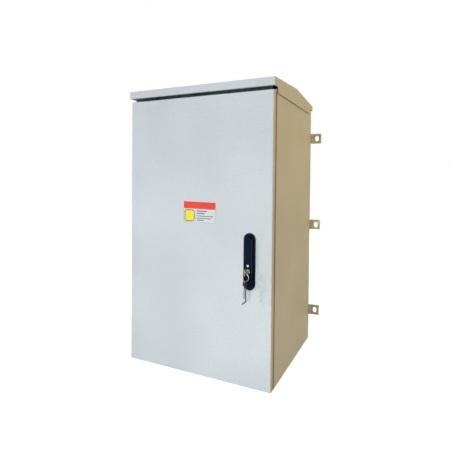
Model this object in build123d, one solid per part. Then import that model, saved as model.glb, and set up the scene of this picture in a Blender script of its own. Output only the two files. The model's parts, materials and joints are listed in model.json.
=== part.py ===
from build123d import *
import math
import os

# Traffic signal controller cabinet: a folded sheet-steel case with a full-front door, a rain roof,
# a swing-handle rod lock and the equipment on its mounting plate.
# Millimetres. Origin at the middle of the case's floor, +X to the right as seen from the front,
# +Y towards the wall, +Z up. The door faces -Y.

# Case
case_width = 500.0
case_depth = 395.0
case_height = 864.0
case_sheet = 1.5
fold_radius = 2.5
flange_width = 26.0
lip_depth = 14.0
lip_corner = 2.0
rear_flange = 50.0

# Door
door_height = 857.0
door_depth = 25.0
door_sheet = 1.5
door_edge_radius = 2.5
door_gap = 2.4
door_ground_gap = 1.0
gasket_margin = 4.0
gasket_squeeze_gap = 0.3

# Rain roof
roof_sheet = 1.5
roof_side_overhang = 4.5
roof_front_overhang = 4.0
roof_gap_above_door = 10.4
fascia_height = 23.0
ridge_rise = 13.5
rear_drop = 5.5
skirt_drop = 16.4
skirt_rear_setback = 37.0
fascia_return = 9.0
rail_sheet = 2.0
rail_flange = 22.0
rail_end_gap = 40.0
rail_setback = 120.0
rail_head_gap = 0.2
roof_bolt_inset = 70.0
roof_bolt_radius = 3.0
roof_bolt_flats = 10.0
roof_bolt_head = 4.0
roof_bolt_tail = 7.0
bolt_hole_gap = 0.3

# Hinges, concealed behind the door's return
hinge_heights = (110.0, 430.0, 750.0)
pivot_inset = 7.0
pivot_depth = 8.9
knuckle_radius = 4.0
knuckle_height = 24.0
door_knuckle_height = 12.0
knuckle_gap = 0.3
hinge_pin_radius = 2.0
running_gap = 0.05
hinge_sheet = 2.0
hinge_arm = 3.0
hinge_arm_reach = 11.5
hinge_foot_height = 50.0
hinge_foot_overlap = 5.0
hinge_screw_spacing = 32.0
hinge_screw_radius = 2.0
hinge_screw_head = 1.8
hinge_screw_tail = 6.0
notch_margin = 6.0
notch_lip = 3.0

# Mounting lugs at the back
lug_thickness = 3.0
lug_height = 37.0
lug_reach = 38.0
lug_foot = 42.0
lug_joggle = 4.0
lug_slot_width = 14.0
lug_slot_height = 20.0
lug_slot_reach = 22.0
lug_spacing = 328.0
lug_centre_height = 436.0
lug_bolt_radius = 3.0
lug_bolt_spacing = 20.0
lug_nut_flats = 10.0
lug_nut_height = 5.0
button_head_height = 3.0

# Floor
gland_opening_width = 240.0
gland_opening_depth = 100.0
gland_plate_margin = 18.0
gland_plate_sheet = 2.0
gland_centre_y = 60.0
gland_screw_radius = 2.5
grommet_bore = 12.0
grommet_neck = 16.5
grommet_flange = 20.0
grommet_flange_height = 3.0
grommet_clearance = 0.3
grommet_pitch = 56.0
grommet_count = 4
vent_slot_length = 60.0
vent_slot_width = 4.0
vent_slot_pitch = 12.0
vent_slot_count = 13
vent_centre_y = -110.0
filter_margin = 8.0
filter_mat_height = 5.0
filter_rim = 6.0

# Lock on the door
lock_from_edge = 68.0
lock_centre_height = 369.0
lock_base_width = 37.0
lock_base_length = 165.0
lock_base_height = 4.5
lock_base_edge = 2.0
lever_width = 28.0
lever_length = 147.0
lever_thickness = 8.0
lever_gap = 0.3
lever_edge_radius = 2.5
lever_wall = 2.0
lever_pin_depth = 2.5
lever_cheek_height = 6.0
lever_tilt_limit = 35.0
spindle_from_top = 19.0
spindle_radius = 7.0
spindle_square = 9.0
spindle_head_width = 12.0
spindle_stud_radius = 3.0
spindle_nut_flats = 10.0
spindle_nut_height = 5.0
lever_pin_radius = 1.5
lock_screw_radius = 3.0
lock_screw_depth = 3.0
lock_screw_flats = 10.0
lock_screw_head = 4.0
cylinder_radius = 6.5
cylinder_drop = 89.0
cylinder_proud = 2.0
rivet_rise = 15.5
rivet_radius = 1.6
rivet_head_radius = 3.8
rivet_head_height = 1.8
keyway_width = 2.4
keyway_height = 8.4
key_thickness = 2.0
key_fit_gap = 0.2
key_bow_width = 21.0
key_bow_length = 18.0
key_neck_length = 4.0
key_hole_radius = 3.4
key_hole_rim = 2.2
key_blade_height = 7.6
key_blade_length = 30.0
ring_radius = 10.8
ring_wire_radius = 0.8
hanging_gap = 0.25
pendant_offset = 2.6
tool_wire_radius = 1.5
tool_eye_radius = 3.6
tool_straight = 52.0
tool_foot = 15.0
tool_bend_angle = 50.0

# Rack and pinion rod drive inside the door
gear_module = 1.5
gear_teeth = 17
gear_thickness = 5.0
gear_backlash = 0.3
pressure_angle = 20.0
rack_teeth = 11
rod_width = 12.0
rod_thickness = 4.0
rod_depth = 32.0
rod_end_gap = 1.0
rod_tip_length = 14.0
guide_sheet = 2.0
guide_gap = 0.4
guide_from_end = 60.0
guide_half_height = 9.0
case_wall = 2.0
gearcase_length = 78.0
latch_thickness = 3.0
latch_width = 16.0
latch_end_gap = 2.0
keeper_sheet = 3.0
keeper_height = 46.0
keeper_depth = 24.0
keeper_edge_gap = 4.0
rod_keeper_gap = 3.0

# Door furniture
hat_width = 34.0
hat_brim = 12.0
hat_depth = 14.0
hat_sheet = 1.5
hat_from_left = 100.0
hat_from_lock = 70.0
hat_end_gap = 40.0
pocket_side_gap = 7.0
pocket_height = 190.0
pocket_depth = 22.0
pocket_wall = 2.0
pocket_low = 150.0
pocket_thumb_radius = 28.0
label_width = 116.0
label_height = 66.0
label_thickness = 0.5
label_centre_x = 13.0
label_centre_z = 504.0
label_tilt = 0.8

# Mounting plate
plate_side_gap = 30.0
plate_height = 740.0
plate_sheet = 2.0
plate_standoff = 25.0
plate_bottom = 62.0
stud_radius = 4.0
stud_collar_radius = 8.0
stud_inset = 16.0
stud_length = 36.0
nut_height = 6.5
nut_across_flats = 13.0
plate_flange = 10.0
plate_flange_inset = 40.0

# Equipment
controller_height = 190.0
controller_depth = 150.0
vent_slots_across = 9
unit_row_left_gap = 8.0
unit_row_right_gap = 6.0
controller_bottom = 585.0
unit_sheet = 1.2
front_overhang = 4.0
front_thickness = 3.0
display_width = 120.0
display_height = 46.0
display_gap = 0.15
display_recess = 1.0
handle_bar_radius = 4.0
handle_span = 120.0
handle_reach = 28.0
handle_bend = 9.0
handle_inset = 8.0
port_count = 3
port_pitch = 44.0
port_width = 30.0
port_height = 12.0
port_proud = 4.0
port_wall = 4.0
status_lamp_count = 10
status_lamp_pitch = 12.0
status_lamp_radius = 2.2
switch_bush_radius = 5.0
switch_bush_hole = 3.4
switch_ball_radius = 3.2
switch_bat_radius = 1.6
switch_bat_length = 14.0
switch_bat_lean = 14.0
switch_bat_tip = 2.3
monitor_width = 78.0
supply_width = 70.0
supply_setback = 25.0
supply_slot_count = 7
unit_gap = 12.0
rack_bottom = 425.0
rack_height = 130.0
rack_depth = 110.0
rack_sheet = 2.0
rack_side_gap = 16.0
rack_back_space = 18.0
switch_width = 46.0
switch_gap = 4.0
switch_height = 112.0
switch_depth = 120.0
switch_side_recess = 3.0
switch_pull_width = 8.0
switch_pull_reach = 14.0
switch_pull_low = 24.0
switch_pull_high = 78.0
switch_lamp_radius = 3.0
switch_lamp_pitch = 11.0
switch_lamp_height = 94.0
rail_width = 35.0
rail_depth = 7.5
rail_thickness = 1.0
rail_brim = 5.0
rail_side_gap = 20.0
breaker_inset = 20.0
breaker_rail_z = 300.0
terminal_rail_z = 135.0
module_width = 18.0
module_height = 84.0
module_depth = 60.0
module_nose = 45.0
module_step = 12.0
module_break = 8.0
relay_width = 27.0
relay_pitch = 30.0
relay_count = 3
relay_socket_height = 76.0
relay_socket_depth = 28.0
relay_can_depth = 34.0
relay_can_height = 34.0
relay_can_inset = 2.5
flasher_width = 62.0
flasher_height = 84.0
flasher_depth = 78.0
flasher_slot_pitch = 12.0
thermostat_width = 34.0
thermostat_height = 68.0
thermostat_depth = 42.0
dial_rise = 8.0
dial_radius = 11.0
dial_height = 9.0
dial_spindle_radius = 3.0
toggle_radius = 6.0
toggle_reach = 16.0
toggle_throw = 44.0
toggle_half_width = 11.0
toggle_trunnion_radius = 1.5
toggle_trunnion_reach = 14.0
terminal_pitch = 8.0
terminal_count = 32
terminal_height = 46.0
terminal_depth = 40.0
end_stop_width = 9.5
end_stop_depth = 30.0
slice_gap = 0.2
trunking_width = 40.0
trunking_depth = 60.0
trunking_wall = 1.6
trunking_slot_pitch = 20.0
trunking_slot = 6.0
trunking_slot_floor = 14.0
trunking_end_gap = 12.0
lid_lip = 7.0
upper_trunking_z = 375.0
lower_trunking_z = 205.0
bar_width = 120.0
bar_height = 12.0
bar_depth = 8.0
bar_standoff = 12.0
bar_z = 78.0
bar_end_gap = 30.0
bar_screw_count = 10
bar_screw_pitch = 11.0
fan_size = 120.0
fan_height = 38.0
fan_y = 20.0
rotor_radius = 54.0
hub_radius = 20.0
fan_axle_radius = 3.0
fan_hub_height = 4.0
fan_screw_inset = 7.5
blade_count = 7
blade_thickness = 1.6
blade_pitch_angle = 45.0
blade_chord = 23.5
guard_wire = 1.2
guard_rings = (14.0, 26.0, 38.0, 50.0)
lamp_length = 260.0
lamp_radius = 14.0
lamp_y = -160.0
lamp_base_height = 12.0
lamp_base_width = 40.0
switch_from_lock = 30.0
switch_body_width = 28.0
switch_body_depth = 22.0
switch_body_height = 50.0
plunger_radius = 4.0
plunger_drop = 16.0

# Places worked out from the sizes above
half = case_width / 2
front = -case_depth / 2
back = case_depth / 2
door_back = front - door_gap
door_face = door_back - door_depth
door_skin = door_face + door_sheet
door_top = door_ground_gap + door_height
doorway = half - flange_width
doorway_low = flange_width
doorway_high = case_height - flange_width
pivot_x = -half + pivot_inset
pivot_y = door_face + pivot_depth
lock_x = half - lock_from_edge
base_front = door_face - lock_base_height
lever_back = base_front - lever_gap
lever_front = lever_back - lever_thickness
spindle_z = lock_centre_height + lock_base_length / 2 - spindle_from_top
cylinder_z = spindle_z - cylinder_drop
rod_y = door_skin + rod_depth
drive_half = max(gear_thickness, rod_thickness) / 2
gear_radius = gear_module * gear_teeth / 2
plate_back = back - case_sheet - plate_standoff
plate_front = plate_back - plate_sheet
ridge_y = (door_face - roof_front_overhang + back) / 2
fascia_low = door_top + roof_gap_above_door
fascia_high = fascia_low + fascia_height
roof_bolt_spacing = half - roof_bolt_inset
rail_length = case_width - 2 * rail_end_gap
hat_left = -half + hat_from_left
hat_right = lock_x - hat_from_lock
pocket_width = hat_right - hat_left - hat_width - 2 * hat_brim - 2 * pocket_side_gap
pocket_centre_x = (hat_left + hat_right) / 2
door_switch_x = lock_x - switch_from_lock
plate_width = case_width - 2 * plate_side_gap
unit_row = plate_width - unit_row_left_gap - unit_row_right_gap
controller_width = unit_row - monitor_width - supply_width - 2 * unit_gap - front_overhang
controller_left = -plate_width / 2 + unit_row_left_gap
din_rail_length = plate_width - 2 * rail_side_gap
switch_pitch = switch_width + switch_gap
switch_count = int((plate_width - 2 * rack_side_gap - switch_gap) / switch_pitch)
cylinder_front = lever_front - cylinder_proud
bow_centre_y = cylinder_front - key_neck_length - key_bow_length / 2
key_hole_offset = key_bow_length / 2 - key_hole_radius - key_hole_rim
ring_y = bow_centre_y - key_hole_offset
ring_top_z = cylinder_z - key_hole_radius + ring_wire_radius + hanging_gap
ring_bottom_z = ring_top_z - 2 * ring_radius


def block(low, high):
    """A box between two opposite corners."""
    size = [b - a for a, b in zip(low, high)]
    middle = [(a + b) / 2 for a, b in zip(low, high)]
    return Pos(*middle) * Box(*size)


def bar(start, axis, radius, length):
    """A round bar that starts at a point and runs along the positive axis x, y or z."""
    turn = {"x": (0, 90, 0), "y": (-90, 0, 0), "z": (0, 0, 0)}[axis]
    upright = Cylinder(radius, length, align=(Align.CENTER, Align.CENTER, Align.MIN))
    return Pos(*start) * Rot(*turn) * upright


def hex_bar(start, axis, across_flats, length):
    """A hexagon bar that starts at a point and runs along the positive axis x, y or z."""
    turn = {"x": (0, 90, 0), "y": (-90, 0, 0), "z": (0, 0, 0)}[axis]
    face = RegularPolygon(across_flats / 2, 6, major_radius=False)
    return Pos(*start) * Rot(*turn) * extrude(face, length)


def along_x(points, x_low, x_high):
    """A (y, z) outline drawn out between two x values."""
    plane = Plane(origin=(x_low, 0, 0), x_dir=(0, 1, 0), z_dir=(1, 0, 0))
    return extrude(plane * Polygon(*points, align=None), x_high - x_low, dir=(1, 0, 0))


def along_y(points, y_low, y_high):
    """An (x, z) outline drawn out between two y values."""
    plane = Plane(origin=(0, y_high, 0), x_dir=(1, 0, 0), z_dir=(0, -1, 0))
    return extrude(plane * Polygon(*points, align=None), y_high - y_low, dir=(0, -1, 0))


def along_z(points, z_low, z_high):
    """An (x, y) outline drawn out between two z values."""
    return extrude(Plane.XY.offset(z_low) * Polygon(*points, align=None), z_high - z_low, dir=(0, 0, 1))


def stadium(centre_x, centre_z, width, length, y_low, y_high):
    """An upright oblong with round ends, drawn out between two y values."""
    plane = Plane(origin=(centre_x, y_high, centre_z), x_dir=(0, 0, 1), z_dir=(0, -1, 0))
    return extrude(plane * SlotOverall(length, width), y_high - y_low)


def frame_ring(outer_x, inner_x, outer_z, inner_z, y_low, y_high, corner):
    """A rectangular ring round the doorway; each z argument is a (low, high) pair."""
    rims = []
    for reach, (low, high) in ((outer_x, outer_z), (inner_x, inner_z)):
        solid = block((-reach, y_low, low), (reach, y_high, high))
        radius = corner if reach == outer_x else max(corner - (outer_x - inner_x), 0.5)
        rims.append(fillet(solid.edges().filter_by(Axis.Y), radius))
    return rims[0] - rims[1]


def group(shapes):
    """Separate solids in one node."""
    solids = [solid for shape in shapes for solid in shape.solids()]
    return Compound(solids)


# Case

def roof_bolt_places():
    reach = rail_setback + rail_flange / 2
    return [(x * roof_bolt_spacing, y * reach) for y in (-1, 1) for x in (-1, 0, 1)]


def lug_heights():
    return [lug_centre_height + step * lug_spacing for step in (-1, 0, 1)]


def lug_bolt_places():
    places = []
    for side in (-1, 1):
        for height in lug_heights():
            for step in (-0.5, 0.5):
                places.append((side * (half - lug_foot / 2 - 2), height + step * lug_bolt_spacing))
    return places


def gland_screw_places():
    reach_x = gland_opening_width / 2 + gland_plate_margin / 2
    reach_y = gland_opening_depth / 2 + gland_plate_margin / 2
    return [(x * reach_x, gland_centre_y + y * reach_y) for x in (-1, 0, 1) for y in (-1, 1)]


def vent_slot_places():
    return [(n - (vent_slot_count - 1) / 2) * vent_slot_pitch for n in range(vent_slot_count)]


def hinge_screw_places():
    x = pivot_x + hinge_arm_reach - hinge_arm - hinge_foot_overlap - 1
    return [(x, z + step * hinge_screw_spacing / 2) for z in hinge_heights for step in (-1, 1)]


def stud_places():
    reach = plate_width / 2 - stud_inset
    low, high = plate_bottom + stud_inset, plate_bottom + plate_height - stud_inset
    return [(x * reach, z) for x in (-1, 1) for z in (low, high)]


def case_skin():
    """The whole folded skin of the case, closed all round but for the doorway and its turned-in lip."""
    outer = block((-half, front, 0), (half, back, case_height))
    outer = fillet(outer.edges().filter_by(Axis.Z), fold_radius)
    hollow = block(
        (-half + case_sheet, front + case_sheet, case_sheet),
        (half - case_sheet, back - case_sheet, case_height - case_sheet),
    )
    hollow = fillet(hollow.edges().filter_by(Axis.Z), fold_radius - case_sheet)
    doorway_cut = block((-doorway, front - 1, doorway_low), (doorway, front + case_sheet + 1, doorway_high))
    skin = outer - hollow - fillet(doorway_cut.edges().filter_by(Axis.Y), lip_corner)
    return skin + frame_ring(
        doorway, doorway - case_sheet,
        (doorway_low, doorway_high), (doorway_low + case_sheet, doorway_high - case_sheet),
        front - lip_depth, front + case_sheet, lip_corner,
    )


def case_holes():
    """The gland opening, the vent slots and every bolt hole."""
    opening_x, opening_y = gland_opening_width / 2, gland_opening_depth / 2
    through = 10
    holes = [block(
        (-opening_x, gland_centre_y - opening_y, -1),
        (opening_x, gland_centre_y + opening_y, case_sheet + 1),
    )]
    for x in vent_slot_places():
        holes.append(block(
            (x - vent_slot_width / 2, vent_centre_y - vent_slot_length / 2, -1),
            (x + vent_slot_width / 2, vent_centre_y + vent_slot_length / 2, case_sheet + 1),
        ))
    for x, y in gland_screw_places():
        holes.append(bar((x, y, -1), "z", gland_screw_radius + bolt_hole_gap, case_sheet + 2))
    for x, y in roof_bolt_places():
        holes.append(bar((x, y, case_height - through / 2), "z", roof_bolt_radius + bolt_hole_gap, through))
    for x, z in lug_bolt_places():
        holes.append(bar((x, back - through / 2, z), "y", lug_bolt_radius + bolt_hole_gap, through))
    for x, z in hinge_screw_places():
        holes.append(bar((x, front - through / 2, z), "y", hinge_screw_radius + bolt_hole_gap, through))
    holes.append(bar((0, fan_y, case_height - through / 2), "z", rotor_radius - 4, through))
    return holes


def case_regions():
    """Where each sheet of the case ends: the seams along which the sheets are welded."""
    wide, tall = half + 1, case_height + 1
    seam = half - rear_flange
    lip_low, lip_high = doorway_low + lip_corner, doorway_high - lip_corner
    rim_front, rim_back = front - lip_depth - 1, front + case_sheet
    inner_front, inner_back = front + case_sheet, back - case_sheet
    sides = []
    for side in (-1, 1):
        low, high = sorted((side * (half - case_sheet), side * wide))
        sheet = block((low, front - 1, -1), (high, back + 1, tall))
        low, high = sorted((side * doorway, side * wide))
        sheet += block((low, front - 1, -1), (high, rim_back, tall))
        low, high = sorted((side * seam, side * wide))
        sheet += block((low, inner_back, -1), (high, back + 1, tall))
        low, high = sorted((side * (doorway - case_sheet), side * wide))
        sheet += block((low, rim_front, lip_low), (high, rim_back, lip_high))
        sides.append(sheet)
    reach = half - case_sheet
    floor_sheet = block((-reach, inner_front, -1), (reach, inner_back, case_sheet))
    top_sheet = block((-reach, inner_front, case_height - case_sheet), (reach, inner_back, tall))
    back_sheet = block((-seam, inner_back, -1), (seam, back + 1, tall))
    low_rim = block((-doorway, rim_front, -1), (doorway, rim_back, lip_low))
    high_rim = block((-doorway, rim_front, lip_high), (doorway, rim_back, tall))
    return sides + [floor_sheet, top_sheet, back_sheet, low_rim, high_rim]


def make_case_shell():
    """Two folded sides, floor, top, back and the two rims of the doorway, welded edge to edge."""
    skin = case_skin()
    for hole in case_holes():
        skin -= hole
    return group([skin & region for region in case_regions()])


# Rain roof

def roof_outline(inset, low):
    """The (y, z) outline of the roof's two slopes, set in by a thickness and closed at a low level."""
    front_y = door_face - roof_front_overhang + inset
    return [
        (front_y, low), (front_y, fascia_high - inset), (ridge_y, fascia_high + ridge_rise - inset),
        (back - inset, fascia_high - rear_drop - inset), (back - inset, low),
    ]


def make_roof_canopy():
    outer_x = half + roof_side_overhang
    skirt_low = fascia_low - skirt_drop
    solid = along_x(roof_outline(0, fascia_low), -outer_x, outer_x)
    solid += block((-outer_x, front, skirt_low), (outer_x, back - skirt_rear_setback, fascia_low + 1))
    hollow = along_x(roof_outline(roof_sheet, skirt_low - 1), -outer_x + roof_sheet, outer_x - roof_sheet)
    canopy = solid - hollow
    front_y = door_face - roof_front_overhang
    canopy += block(
        (-outer_x + roof_sheet, front_y, fascia_low),
        (outer_x - roof_sheet, front_y + fascia_return, fascia_low + roof_sheet),
    )
    return canopy


def roof_underside(y):
    """Height of the canopy's inner face above a point of the depth."""
    run = back - ridge_y - roof_sheet
    fall = ridge_rise if y < ridge_y else ridge_rise + rear_drop
    return fascia_high + ridge_rise - roof_sheet - fall * abs(y - ridge_y) / run


def head_level(y):
    return roof_underside(y) - rail_head_gap


def make_roof_rail(side):
    """A formed Z rail: its foot is bolted to the case and its head carries the sloping sheet."""
    inner = side * rail_setback
    web = inner + side * rail_sheet
    foot = inner + side * rail_flange
    head = inner - side * rail_flange
    low, high = case_height, case_height + rail_sheet
    outline = [
        (inner, low), (foot, low), (foot, high), (web, high),
        (web, head_level(web)), (head, head_level(head)),
        (head, head_level(head) - rail_sheet), (inner, head_level(inner) - rail_sheet),
    ]
    rail = along_x(outline, -rail_length / 2, rail_length / 2)
    for x, y in roof_bolt_places():
        if y * side > 0:
            rail += bar((x, y, high), "z", roof_bolt_radius + 3, 5)
            rail -= bar((x, y, low - 1), "z", roof_bolt_radius + running_gap, rail_sheet + 10)
    return rail


def make_roof_bolts():
    bolts = []
    under = case_height - case_sheet
    for x, y in roof_bolt_places():
        head = hex_bar((x, y, under - roof_bolt_head), "z", roof_bolt_flats, roof_bolt_head)
        length = rail_sheet + case_sheet + roof_bolt_tail
        bolts.append(head + bar((x, y, under - 1), "z", roof_bolt_radius, length))
    return group(bolts)


# Mounting lugs

def make_mounting_lug(side, height):
    inner, edge = half - lug_foot, half + 2
    ramp_end = edge + lug_joggle + 1
    outer = half + lug_reach
    near, far = back, back + lug_thickness
    outline = [
        (inner, near), (edge, near), (ramp_end, near + lug_joggle), (outer, near + lug_joggle),
        (outer, far + lug_joggle), (ramp_end - 1, far + lug_joggle), (edge - 1, far), (inner, far),
    ]
    outline = [(side * x, y) for x, y in outline]
    lug = along_z(outline, height - lug_height / 2, height + lug_height / 2)
    lug = fillet(lug.edges().filter_by(Axis.Y), 2.0)
    slot_x = side * (half + lug_slot_reach)
    lug -= stadium(slot_x, height, lug_slot_width, lug_slot_height, back - 1, back + 20)
    for x, z in lug_bolt_places():
        if x * side > 0 and abs(z - height) < lug_height / 2:
            lug -= bar((x, back - 1, z), "y", lug_bolt_radius + bolt_hole_gap, 10)
    return lug


def make_lug_bolts():
    bolts = []
    wall = back - case_sheet
    for x, z in lug_bolt_places():
        head = bar((x, back + lug_thickness, z), "y", lug_bolt_radius * 1.8, button_head_height)
        tail = lug_nut_height + 1
        shank = bar((x, wall - tail, z), "y", lug_bolt_radius, tail + case_sheet + lug_thickness + 1)
        bolts.append(head + shank)
    return group(bolts)


def make_lug_nuts():
    nuts = []
    wall = back - case_sheet
    for x, z in lug_bolt_places():
        nut = hex_bar((x, wall - lug_nut_height, z), "y", lug_nut_flats, lug_nut_height)
        hole = bar((x, wall - lug_nut_height - 1, z), "y", lug_bolt_radius + running_gap, lug_nut_height + 2)
        nuts.append(nut - hole)
    return group(nuts)


# Floor

def grommet_places():
    return [((n - (grommet_count - 1) / 2) * grommet_pitch, gland_centre_y) for n in range(grommet_count)]


def make_gland_plate():
    reach_x = gland_opening_width / 2 + gland_plate_margin
    reach_y = gland_opening_depth / 2 + gland_plate_margin
    plate = block(
        (-reach_x, gland_centre_y - reach_y, case_sheet),
        (reach_x, gland_centre_y + reach_y, case_sheet + gland_plate_sheet),
    )
    plate = fillet(plate.edges().filter_by(Axis.Z), 6)
    for x, y in gland_screw_places():
        plate -= bar((x, y, 0), "z", gland_screw_radius + bolt_hole_gap, 10)
    for x, y in grommet_places():
        plate -= bar((x, y, 0), "z", grommet_neck + grommet_clearance / 2, 10)
    return plate


def make_gland_screws():
    screws = []
    top = case_sheet + gland_plate_sheet
    for x, y in gland_screw_places():
        head = bar((x, y, top), "z", gland_screw_radius * 1.9, 2.6)
        screws.append(head + bar((x, y, 0.2), "z", gland_screw_radius, top))
    return group(screws)


def make_cable_grommets():
    low = grommet_clearance
    seat = case_sheet + gland_plate_sheet
    outline = [
        (grommet_bore, low), (grommet_flange - 1, low), (grommet_flange, low + 0.6),
        (grommet_flange, case_sheet), (grommet_neck, case_sheet), (grommet_neck, seat),
        (grommet_flange, seat), (grommet_flange - 1.5, seat + grommet_flange_height),
        (grommet_bore, seat + grommet_flange_height),
    ]
    profile = Plane.XZ * Polygon(*outline, align=None)
    grommet = revolve(profile, Axis.Z)
    return group([Pos(x, y, 0) * grommet for x, y in grommet_places()])


def vent_reach():
    reach_x = (vent_slot_count - 1) / 2 * vent_slot_pitch + vent_slot_width / 2 + filter_margin
    return reach_x, vent_slot_length / 2 + filter_margin


def make_filter_mat():
    x, y = vent_reach()
    return block(
        (-x, vent_centre_y - y, case_sheet), (x, vent_centre_y + y, case_sheet + filter_mat_height)
    )


def make_filter_frame():
    """A pressed frame over the mat, with a bar across its middle."""
    x, y = vent_reach()
    x, y = x + filter_rim, y + filter_rim
    low, high = case_sheet, case_sheet + filter_mat_height + 1.5
    frame = block((-x, vent_centre_y - y, low), (x, vent_centre_y + y, high))
    frame -= block(
        (-x + filter_rim - 0.2, vent_centre_y - y + filter_rim - 0.2, low - 1),
        (x - filter_rim + 0.2, vent_centre_y + y - filter_rim + 0.2, low + filter_mat_height),
    )
    for side in (-1, 1):
        inner, outer = filter_rim / 2, x - filter_rim * 1.6
        frame -= block(
            (min(side * inner, side * outer), vent_centre_y - y + filter_rim * 1.6, low),
            (max(side * inner, side * outer), vent_centre_y + y - filter_rim * 1.6, high + 1),
        )
    return frame


# Hinges

def make_hinge_case_leaf(z):
    """The case's leaf: a foot on the flange, a cranked arm and the middle knuckle."""
    foot_front = front - hinge_sheet
    arm_out = pivot_x + hinge_arm_reach
    arm_in = arm_out - hinge_arm
    low, high = z - knuckle_height / 2, z + knuckle_height / 2
    arm = block((pivot_x, pivot_y - hinge_arm / 2, low), (arm_out, pivot_y + hinge_arm / 2, high))
    arm += block((arm_in, pivot_y - hinge_arm / 2, low), (arm_out, front, high))
    arm += bar((pivot_x, pivot_y, low), "z", knuckle_radius, knuckle_height)
    half_foot = hinge_foot_height / 2
    arm += block((pivot_x - hinge_foot_overlap, foot_front, z - half_foot), (arm_out, front, z + half_foot))
    arm -= bar((pivot_x, pivot_y, low - 1), "z", hinge_pin_radius + running_gap, knuckle_height + 2)
    for x, screw_z in hinge_screw_places():
        if abs(screw_z - z) < half_foot:
            arm -= bar((x, foot_front - 1, screw_z), "y", hinge_screw_radius + running_gap, hinge_sheet + 2)
    return arm


def make_hinge_door_leaf(z):
    """The door's leaf: a plate on the skin and a knuckle above and below the case's."""
    near = knuckle_height / 2 + knuckle_gap
    far = near + door_knuckle_height
    plate_low = -half + door_sheet + running_gap * 2
    leaf = block(
        (plate_low, door_skin, z - far), (pivot_x + knuckle_radius * 2, door_skin + hinge_sheet, z + far)
    )
    for low in (z + near, z - far):
        high = low + door_knuckle_height
        leaf += block((pivot_x - 2, door_skin, low), (pivot_x + 2, pivot_y, high))
        leaf += bar((pivot_x, pivot_y, low), "z", knuckle_radius, door_knuckle_height)
    leaf -= bar((pivot_x, pivot_y, z - far - 1), "z", hinge_pin_radius + running_gap, 2 * far + 2)
    return leaf


def make_hinge_pin(z):
    reach = knuckle_height / 2 + knuckle_gap + door_knuckle_height + knuckle_gap
    pin = bar((pivot_x, pivot_y, z - reach), "z", hinge_pin_radius, 2 * reach)
    return pin + bar((pivot_x, pivot_y, z + reach), "z", hinge_pin_radius * 1.6, 1.5)


def make_hinge_screws():
    screws = []
    foot_front = front - hinge_sheet
    for x, z in hinge_screw_places():
        head = bar((x, foot_front - hinge_screw_head, z), "y", hinge_screw_radius * 1.8, hinge_screw_head)
        length = hinge_sheet + case_sheet + hinge_screw_tail
        screws.append(head + bar((x, foot_front - 1, z), "y", hinge_screw_radius, length))
    return group(screws)


# Door

def make_door_panel():
    panel = block((-half, door_face, door_ground_gap), (half, door_back, door_top))
    panel = fillet(panel.faces().sort_by(Axis.Y)[0].edges(), door_edge_radius)
    panel -= block(
        (-half + door_sheet, door_skin, door_ground_gap + door_sheet),
        (half - door_sheet, door_back + 1, door_top - door_sheet),
    )
    notch = hinge_foot_height / 2 + notch_margin
    for z in hinge_heights:
        panel -= block(
            (-half - 1, pivot_y + notch_lip, z - notch), (-half + door_sheet + 0.01, door_back + 1, z + notch)
        )
    panel -= bar((lock_x, door_face - 1, spindle_z), "y", spindle_radius + 1, door_sheet + 2)
    for _, z in lock_screw_places():
        panel -= bar((lock_x, door_face - 1, z), "y", lock_screw_radius + bolt_hole_gap, door_sheet + 2)
    return panel


def make_door_gasket():
    outer = doorway + gasket_margin
    inner = doorway - case_sheet - gasket_margin
    return frame_ring(
        outer, inner,
        (doorway_low - gasket_margin, doorway_high + gasket_margin),
        (doorway_low + case_sheet + gasket_margin, doorway_high - case_sheet - gasket_margin),
        door_skin, front - lip_depth - gasket_squeeze_gap, lip_corner + gasket_margin,
    )


def make_stiffener(x):
    """A hat channel welded upright inside the door."""
    top, brim = hat_width / 2, hat_width / 2 + hat_brim
    skin, crest = door_skin, door_skin + hat_depth
    outline = [
        (-brim, skin), (-top, skin), (-top, crest - hat_sheet), (top, crest - hat_sheet),
        (top, skin), (brim, skin), (brim, skin + hat_sheet), (top + hat_sheet, skin + hat_sheet),
        (top + hat_sheet, crest), (-top - hat_sheet, crest), (-top - hat_sheet, skin + hat_sheet),
        (-brim, skin + hat_sheet),
    ]
    outline = [(x + dx, y) for dx, y in outline]
    return along_z(outline, doorway_low + hat_end_gap, doorway_high - hat_end_gap)


def make_document_pocket():
    """A wallet for the site drawings, open at the top, with a thumb cut-out."""
    reach = pocket_width / 2
    low, high = pocket_low, pocket_low + pocket_height
    near, far = door_skin, door_skin + pocket_depth
    pocket = block((pocket_centre_x - reach, near, low), (pocket_centre_x + reach, far, high))
    pocket = fillet(pocket.edges().filter_by(Axis.Y).group_by(Axis.Z)[0], 8)
    pocket -= block(
        (pocket_centre_x - reach + pocket_wall, near + pocket_wall, low + pocket_wall),
        (pocket_centre_x + reach - pocket_wall, far - pocket_wall, high + 1),
    )
    thumb = bar((pocket_centre_x, far - pocket_wall - 1, high), "y", pocket_thumb_radius, pocket_wall + 2)
    return pocket - thumb


def make_label_plate():
    plate = block(
        (-label_width / 2, -label_thickness, -label_height / 2), (label_width / 2, 0, label_height / 2)
    )
    plate = fillet(plate.edges().filter_by(Axis.Y), 3)
    return Pos(label_centre_x, door_face, label_centre_z) * Rot(0, label_tilt, 0) * plate


# Lock

def lock_screw_places():
    return [(lock_x, spindle_z - 32), (lock_x, lock_centre_height - lock_base_length / 2 + 14)]


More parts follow.
